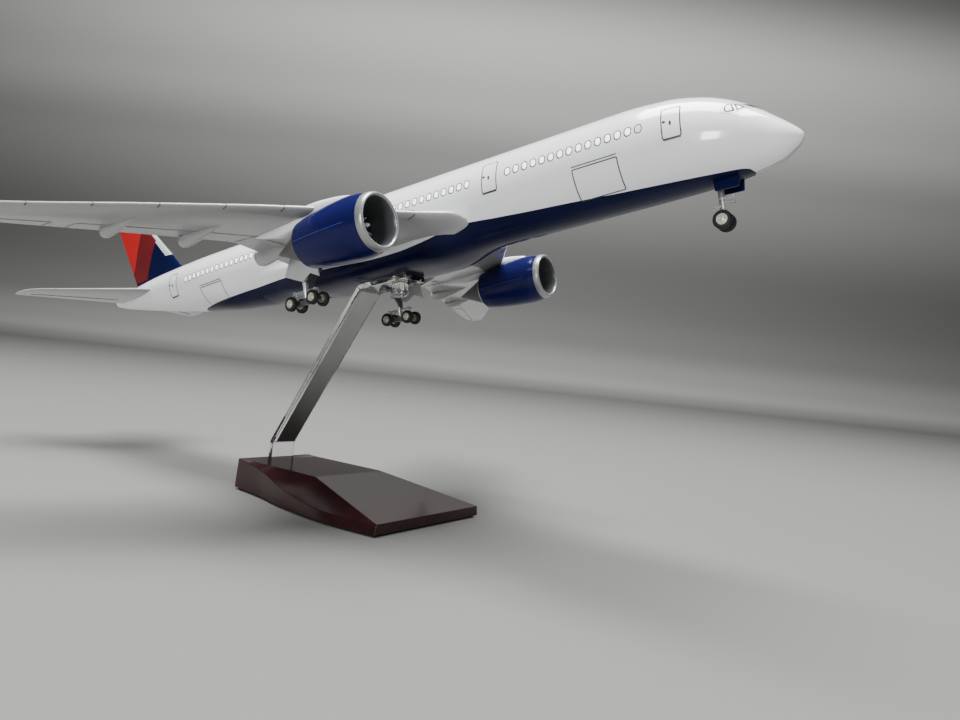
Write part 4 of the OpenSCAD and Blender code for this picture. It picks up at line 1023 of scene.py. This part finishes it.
def main_gear(side, name):
    height, tilt = BOGIE[name]
    foot = AIRCRAFT @ shift(-MAIN_S, side * MAIN_Y, height)
    bogie = foot @ turn(-tilt, "Y")
    half = WHEELBASE / 2
    for ahead, end in ((1, "front"), (-1, "rear")):
        place = bogie @ shift(ahead * half, 0, 0)
        body = "{}_wheelset_{}".format(end, name)
        piece("{}_tyre_pair_{}".format(end, name), tyre(MAIN_TRACK, MAIN_RIM, MAIN_TYRE, MAIN_TYRE_W),
              place,
              body, "tyre_black", ["{}_tyres_{}".format(end, name)])
        piece("{}_hub_pair_{}".format(end, name), hub(MAIN_TRACK, MAIN_RIM, 2.4, AXLE_R - 0.02), place,
              body,
              "wheel_hub", ["{}_wheels_{}".format(end, name)])
    leg = Shape()
    leg.add(lathe([(0, 1.75), (1.3, 1.75), (1.3, 8.6), (1.5, 8.9), (1.5, 11.2), (1.8, 11.6), (1.8, 20.7),
                   (0, 20.7)],
                  40), shift(-0.5, 0, 0))
    leg.add(block((12, 5.2, 2.6), (3, 0, 20.9)))
    leg.add(block((14.8, 1.1, 1.1), (-0.6, 0, 5.4)))
    for x in (-7.9, 6.7):
        leg.add(rod((x, -1.2, 5.4), (x, 1.2, 5.4), 0.85, sides=24))
    leg.add(rod((-7.2, 0, 3.4), (-1.6, 0, 4.6), 0.4))
    leg.add(rod((-7.4, 0, 5), (-7.2, 0, 3.3), 0.4))
    for y in (-0.9, 0.9):
        leg.add(rod((-0.6, y * 1.5, 3), (-0.6, y * 1.5, 11), 0.16, sides=12))
    piece("main_leg_strut_" + name, leg, foot, "model", "gear_metal", ["main_leg_" + name], bevel=0.1)
    outline = [(0.2, 6), (2.3, 7), (3.5, 9.2), (7.5, 14.2), (10.5, 18), (10.5, 21.6), (0.2, 21.6)]
    brace = Shape().add(loft([[Vector((x, -side * y, z)) for y, z in outline] for x in (0.3, 1.7)]))
    brace.add(rod((1.5, side * 0.2, 6), (1.5, side * 0.2, 10.6), 0.3))
    piece("main_leg_brace_" + name, brace, foot, "model", "gear_metal", finish="brace_grey", bevel=0.12)
    beam = Shape()
    outline = [(-half - 1.4, -0.8), (-half - 1.4, 0.8), (-half - 0.9, 1.25), (-half + 1.2, 1.25),
               (-2.4, 0.95), (-1.9, 1.1), (1.9, 1.1), (2.4, 0.95), (half - 1.2, 1.25), (half + 0.9, 1.25),
               (half + 1.4, 0.8), (half + 1.4, -0.8), (half + 0.9, -1.25), (half - 1.2, -1.25),
               (2.2, -1.55), (-2.2, -1.55), (-half + 1.2, -1.25), (-half - 0.9, -1.25)]
    beam.add(plate(outline, 2.1))
    for x in (-half, half):
        beam.add(rod((x, -1.5, 0), (x, 1.5, 0), 1.2, sides=28))
    piece("bogie_frame_" + name, beam, bogie, "model", "gear_metal", ["bogie_beam_" + name], bevel=0.15,
          finish="brace_grey")
    outline = [(-223.4, -10.6), (-220.2, -26.5), (-226.6, -23.5), (-232, -27.1), (-244.6, -22.1),
               (-239.6, -12.5), (-239, -11.6)]
    door = Shape().add(plate(outline, 0.8), shift(0, side * (MAIN_Y + 4.4), 0))
    door.add(block((0.6, 1.4, 9), (-232, side * (MAIN_Y + 3.3), -19)))
    door.add(block((12, 1.2, 0.6), (-231, side * (MAIN_Y + 3.4), -18)))
    on_model("main_door_panel_" + name, door, "gear_door_grey", ["main_door_" + name], bevel=0.16)


# ---------------------------------------------------------------- stand

BASE_L, BASE_H, BASE_FRONT_H, BASE_LIFT, CREASE_X = 117.4, 17, 6.2, 1.2, 0.8
REAR_X, FRONT_X = -BASE_L / 2, BASE_L / 2
FRONT_HALF = 42.15
PLAN_HALF = [(REAR_X, 27.2), (-35, 31.5), (-5, 39.4), (29, 44.05), (FRONT_X, FRONT_HALF)]
SHOULDER = [(REAR_X, BASE_H), (-40, 15.2), (-12, 10.2), (12, 7.0), (29, 6.0), (FRONT_X, BASE_FRONT_H)]


def ridge(x):
    """Half width and height of the base's top face."""
    if x < CREASE_X:
        return 24.6 + 0.8 * (x - REAR_X) / (CREASE_X - REAR_X), BASE_H
    u = (x - CREASE_X) / (FRONT_X - CREASE_X)
    return 25.4 + (FRONT_HALF - 0.6 - 25.4) * u, BASE_H + (BASE_FRONT_H - BASE_H) * u


def base():
    rings = []
    for x in spread(REAR_X, CREASE_X, 30) + spread(CREASE_X, FRONT_X, 30)[1:]:
        half, height = ridge(x)
        wide = curve(PLAN_HALF, x)
        half = min(half, wide - 1.2)
        shoulder = min(curve(SHOULDER, x), height)
        rings.append([Vector(p) for p in (
            (x, -wide, BASE_LIFT), (x, -wide + 0.8, shoulder), (x, -half, height),
            (x, half, height), (x, wide - 0.8, shoulder), (x, wide, BASE_LIFT))])
    piece("base_moulding", loft(rings), STAND, "base", "base_gloss", ["base_block"], sharp=14, bevel=0.9,
          segments=4)


SLOT_X, STRUT_W, STRUT_T, LEAN, BEND_Z, BEND_R = -53.9, 17, 2.8, 31, 26.4, 5
SLOT_FLOOR = 6
# Bare margins beside the painted reflection on the strip's front face, in millimetres; its height and
# painted shades from the floor upwards, in metres
PAINTED_REFLECTION_MARGINS = (1, 1.9)
PAINTED_REFLECTION_TOP = 0.2
PAINTED_REFLECTION_SHADES = [(0, 0.06), (0.2, 0.7), (0.03, 0.07), (0.09, 0.36), (0.15, 0.58)]
SCREW_S, TONGUE_S = 203.5, 193.5


def strip_line():
    """Centre line of the clear strip in x and z, with its two bends."""
    front = AIRCRAFT @ at(TONGUE_S, 0, BELLY_Z - STRUT_T / 2)
    front = Vector((front.x, front.z))
    up = Vector((-sin(PITCH), cos(PITCH)))
    lean = Vector((sin(radians(LEAN)), cos(radians(LEAN))))
    first = Vector((SLOT_X, BEND_Z))
    second = first + lean * ((front - first).dot(up) / lean.dot(up))
    corners = [Vector((SLOT_X, SLOT_FLOOR + 0.1)), first, second, front]
    points = [(corners[0], (corners[1] - corners[0]).normalized())]
    for before, corner, after in zip(corners, corners[1:], corners[2:]):
        a, b = (corner - before).normalized(), (after - corner).normalized()
        angle = a.angle(b)
        sign = 1 if a.x * b.y - a.y * b.x > 0 else -1
        start = corner - a * BEND_R * tan(angle / 2)
        middle = start + sign * BEND_R * Vector((-a.y, a.x))
        for g in spread(0, angle, 14):
            c, k = cos(sign * g), sin(sign * g)
            arm = Vector((a.y, -a.x)) * sign
            arm = Vector((arm.x * c - arm.y * k, arm.x * k + arm.y * c))
            points.append((middle + BEND_R * arm, Vector((a.x * c - a.y * k, a.x * k + a.y * c))))
    points.append((corners[3], (corners[3] - corners[2]).normalized()))
    return points


def strut():
    edge = 0.22
    w, t = STRUT_W / 2, STRUT_T / 2
    section = [(-w, -t + edge), (-w, t - edge), (-w + edge, t), (w - edge, t), (w, t - edge),
               (w, -t + edge), (w - edge, -t), (-w + edge, -t)]
    rings = []
    for place, along in strip_line():
        side = Vector((-along.y, along.x))
        rings.append([Vector((place.x + side.x * v, u, place.y + side.y * v)) for u, v in section])
    piece("strut_strip", loft(rings), STAND, "model", "clear_acrylic", ["strut"], sharp=30)
    # Thin sheet on the front face between the two bends that carries a painted reflection, pale at its top
    # and dark at its foot
    leaning = strip_line()[12:-12]
    face = [[place - Vector((-along.y, along.x)) * (t + d) for d in (0.01, 0.06)]
            for place, along in leaning]
    left, right = w - PAINTED_REFLECTION_MARGINS[0], PAINTED_REFLECTION_MARGINS[1] - w
    rings = [[Vector((q.x, u, q.y)) for u, q in ((left, far), (right, far), (right, near), (left, near))]
             for near, far in face]
    piece("strut_painted_reflection", loft(rings), STAND, "model", "clear_acrylic", finish="painted_reflection_sheet")
    paint_light_by_height(FINISHES["painted_reflection_sheet"], PAINTED_REFLECTION_TOP, PAINTED_REFLECTION_SHADES)


def thumb_screw():
    knob_r, knob_h, shank_r = 4.3, 6.6, 1.5
    sides = 144
    rings = []
    for z, share in ((0, 0.84), (-0.25, 0.93), (-0.8, 1), (-knob_h + 1, 1), (-knob_h + 0.35, 0.95),
                     (-knob_h, 0.84)):
        rings.append([Vector((r * cos(a), r * sin(a), z)) for r, a in (
            (knob_r * share - 0.42 * max(0.0, cos(12 * b)) ** 2, b)
            for b in (tau * k / sides for k in range(sides)))])
    shape = Shape().add(loft(rings))
    shape.add(rod((0, 0, -0.02), (0, 0, STRUT_T + 3), shank_r, sides=40))
    place = AIRCRAFT @ shift(-SCREW_S, 0, BELLY_Z - STRUT_T - 0.05)
    piece("thumb_screw_knob", shape, place, "thumb_screw", "clear_acrylic", ["thumb_screw"], sharp=40)


# ---------------------------------------------------------------- build

def camera():
    data = bpy.data.cameras.new("camera")
    data.sensor_width = 36
    data.lens = 27.88
    obj = bpy.data.objects.new("camera", data)
    right = Vector((0.82938569, 0.54831557, 0.10709532))
    down = Vector((0.08824318, 0.06071603, -0.9942468))
    ahead = right.cross(down)
    turned = Matrix((right, -down, -ahead)).transposed().to_4x4()
    obj.matrix_world = Matrix.Translation((0.27783, -0.30265, 0.08525)) @ turned
    bpy.context.scene.collection.objects.link(obj)
    bpy.context.scene.camera = obj


def paint_light_by_height(m, top, shades):
    """Paints light and shade into a material's grey by height in metres; the first two shades are those of
    the ends, 0 and top.
    """
    nodes, links = m.node_tree.nodes, m.node_tree.links
    where = nodes.new("ShaderNodeTexCoord")
    parts = nodes.new("ShaderNodeSeparateXYZ")
    links.new(where.outputs["Object"], parts.inputs["Vector"])
    ramp = nodes.new("ShaderNodeValToRGB")
    ramp.color_ramp.interpolation = "EASE"
    height = nodes.new("ShaderNodeMapRange")
    height.inputs["From Max"].default_value = top
    links.new(parts.outputs["Z"], height.inputs["Value"])
    links.new(height.outputs["Result"], ramp.inputs["Fac"])
    elements = ramp.color_ramp.elements
    for k, (z, level) in enumerate(shades):
        element = elements[k] if k < 2 else elements.new(z / top)
        element.position = z / top
        element.color = (level, level, level * 0.975, 1)
    links.new(ramp.outputs["Color"], nodes["Principled BSDF"].inputs["Base Color"])


# Height of the backdrop, and its painted light and shade from the desk upwards, in metres
WALL_TOP = 3.0
WALL_PAINTED_LIGHT = [(0, 0.16), (3.0, 0.05), (0.02, 0.21), (0.05, 0.28), (0.1, 0.24), (0.22, 0.16), (0.5, 0.13),
               (0.9, 0.23), (1.15, 0.38), (1.4, 0.46), (1.8, 0.12)]


def backdrop_paper():
    """Pale desk that turns into a wall, with painted light and shade: darker low down and lighter towards
    its top.
    """
    m = material("floor_paper", (0.5, 0.5, 0.49), 0.6, mottle=0.01, patch=200, spec=0.15)
    paint_light_by_height(m, WALL_TOP, WALL_PAINTED_LIGHT)
    return m


def floor():
    """Pale sweep: a flat floor that curves up into a far wall."""
    wide, near, far, bend = 6.0, -3.0, 2.3, 0.35
    profile = [(near, 0.0), (far, 0.0)]
    profile += [(far + bend * sin(a), bend - bend * cos(a)) for a in spread(0, pi / 2, 24)][1:]
    profile += [(far + bend, z) for z in spread(bend, WALL_TOP, 10)[1:]]
    view = Matrix.Rotation(radians(33.5), 4, "Z")
    mesh = bpy.data.meshes.new("floor")
    verts = [view @ Vector((x, y, z)) for y, z in profile for x in (-wide, wide)]
    mesh.from_pydata(verts, [], [(2 * i, 2 * i + 1, 2 * i + 3, 2 * i + 2) for i in range(len(profile) - 1)])
    mesh.shade_smooth()
    obj = bpy.data.objects.new("floor", mesh)
    mesh.materials.append(backdrop_paper())
    bpy.context.scene.collection.objects.link(obj)


def lamp(name, place, target, size, power, mirrored=True):
    data = bpy.data.lights.new(name, "AREA")
    data.shape = "RECTANGLE"
    data.size, data.size_y = size
    data.energy = power
    obj = bpy.data.objects.new(name, data)
    obj.location = place
    obj.rotation_euler = (Vector(target) - Vector(place)).to_track_quat("-Z", "Y").to_euler()
    obj.visible_glossy = mirrored
    bpy.context.scene.collection.objects.link(obj)


def studio():
    lamp("top_light", (0.0, 0.0, 1.6), (0, 0, 0.1), (1.1, 0.9), 96)
    lamp("left_light", (-1.3, -1.5, 1.2), (0, 0, 0.15), (1.0, 0.8), 12, False)
    lamp("right_light", (1.5, -0.9, 1.1), (0, 0, 0.15), (0.9, 0.7), 13, False)
    lamp("window_light", (0.37, -1.3, 0.26), (0.18, 0, 0.18), (0.18, 0.45), 9)
    lamp("wall_light", (-0.5, 0.9, 2.6), (-1.2, 2.5, 1.3), (2.6, 0.8), 75, False)
    world = bpy.data.worlds.new("studio")
    world.use_nodes = True
    world.node_tree.nodes["Background"].inputs["Color"].default_value = (0.62, 0.63, 0.64, 1)
    world.node_tree.nodes["Background"].inputs["Strength"].default_value = 0.1
    bpy.context.scene.world = world


def carried_over():
    """CAD nodes that stay: each takes the finish of its own slot."""
    slots = {row["node"]: row["material_slot"] for row in frame["record"]["subparts"]}
    for node, obj in frame["nodes"].items():
        if not obj.hide_render:
            obj.data.materials.clear()
            obj.data.materials.append(FINISHES[slots[node]])


camera()
floor()
studio()
fuselage()
belly_fairing()
battery_door()
windows()
door_lines()
cockpit()
fin()
nose_gear()
for side_name, side_sign in SIDES.items():
    wing(side_sign, side_name)
    wing_lines(side_sign, side_name)
    flap_fairings(side_sign, side_name)
    stabiliser(side_sign, side_name)
    engine(side_sign, side_name)
    pylon(side_sign, side_name)
    main_gear(side_sign, side_name)
base()
strut()
thumb_screw()
carried_over()

bpy.context.view_layer.update()
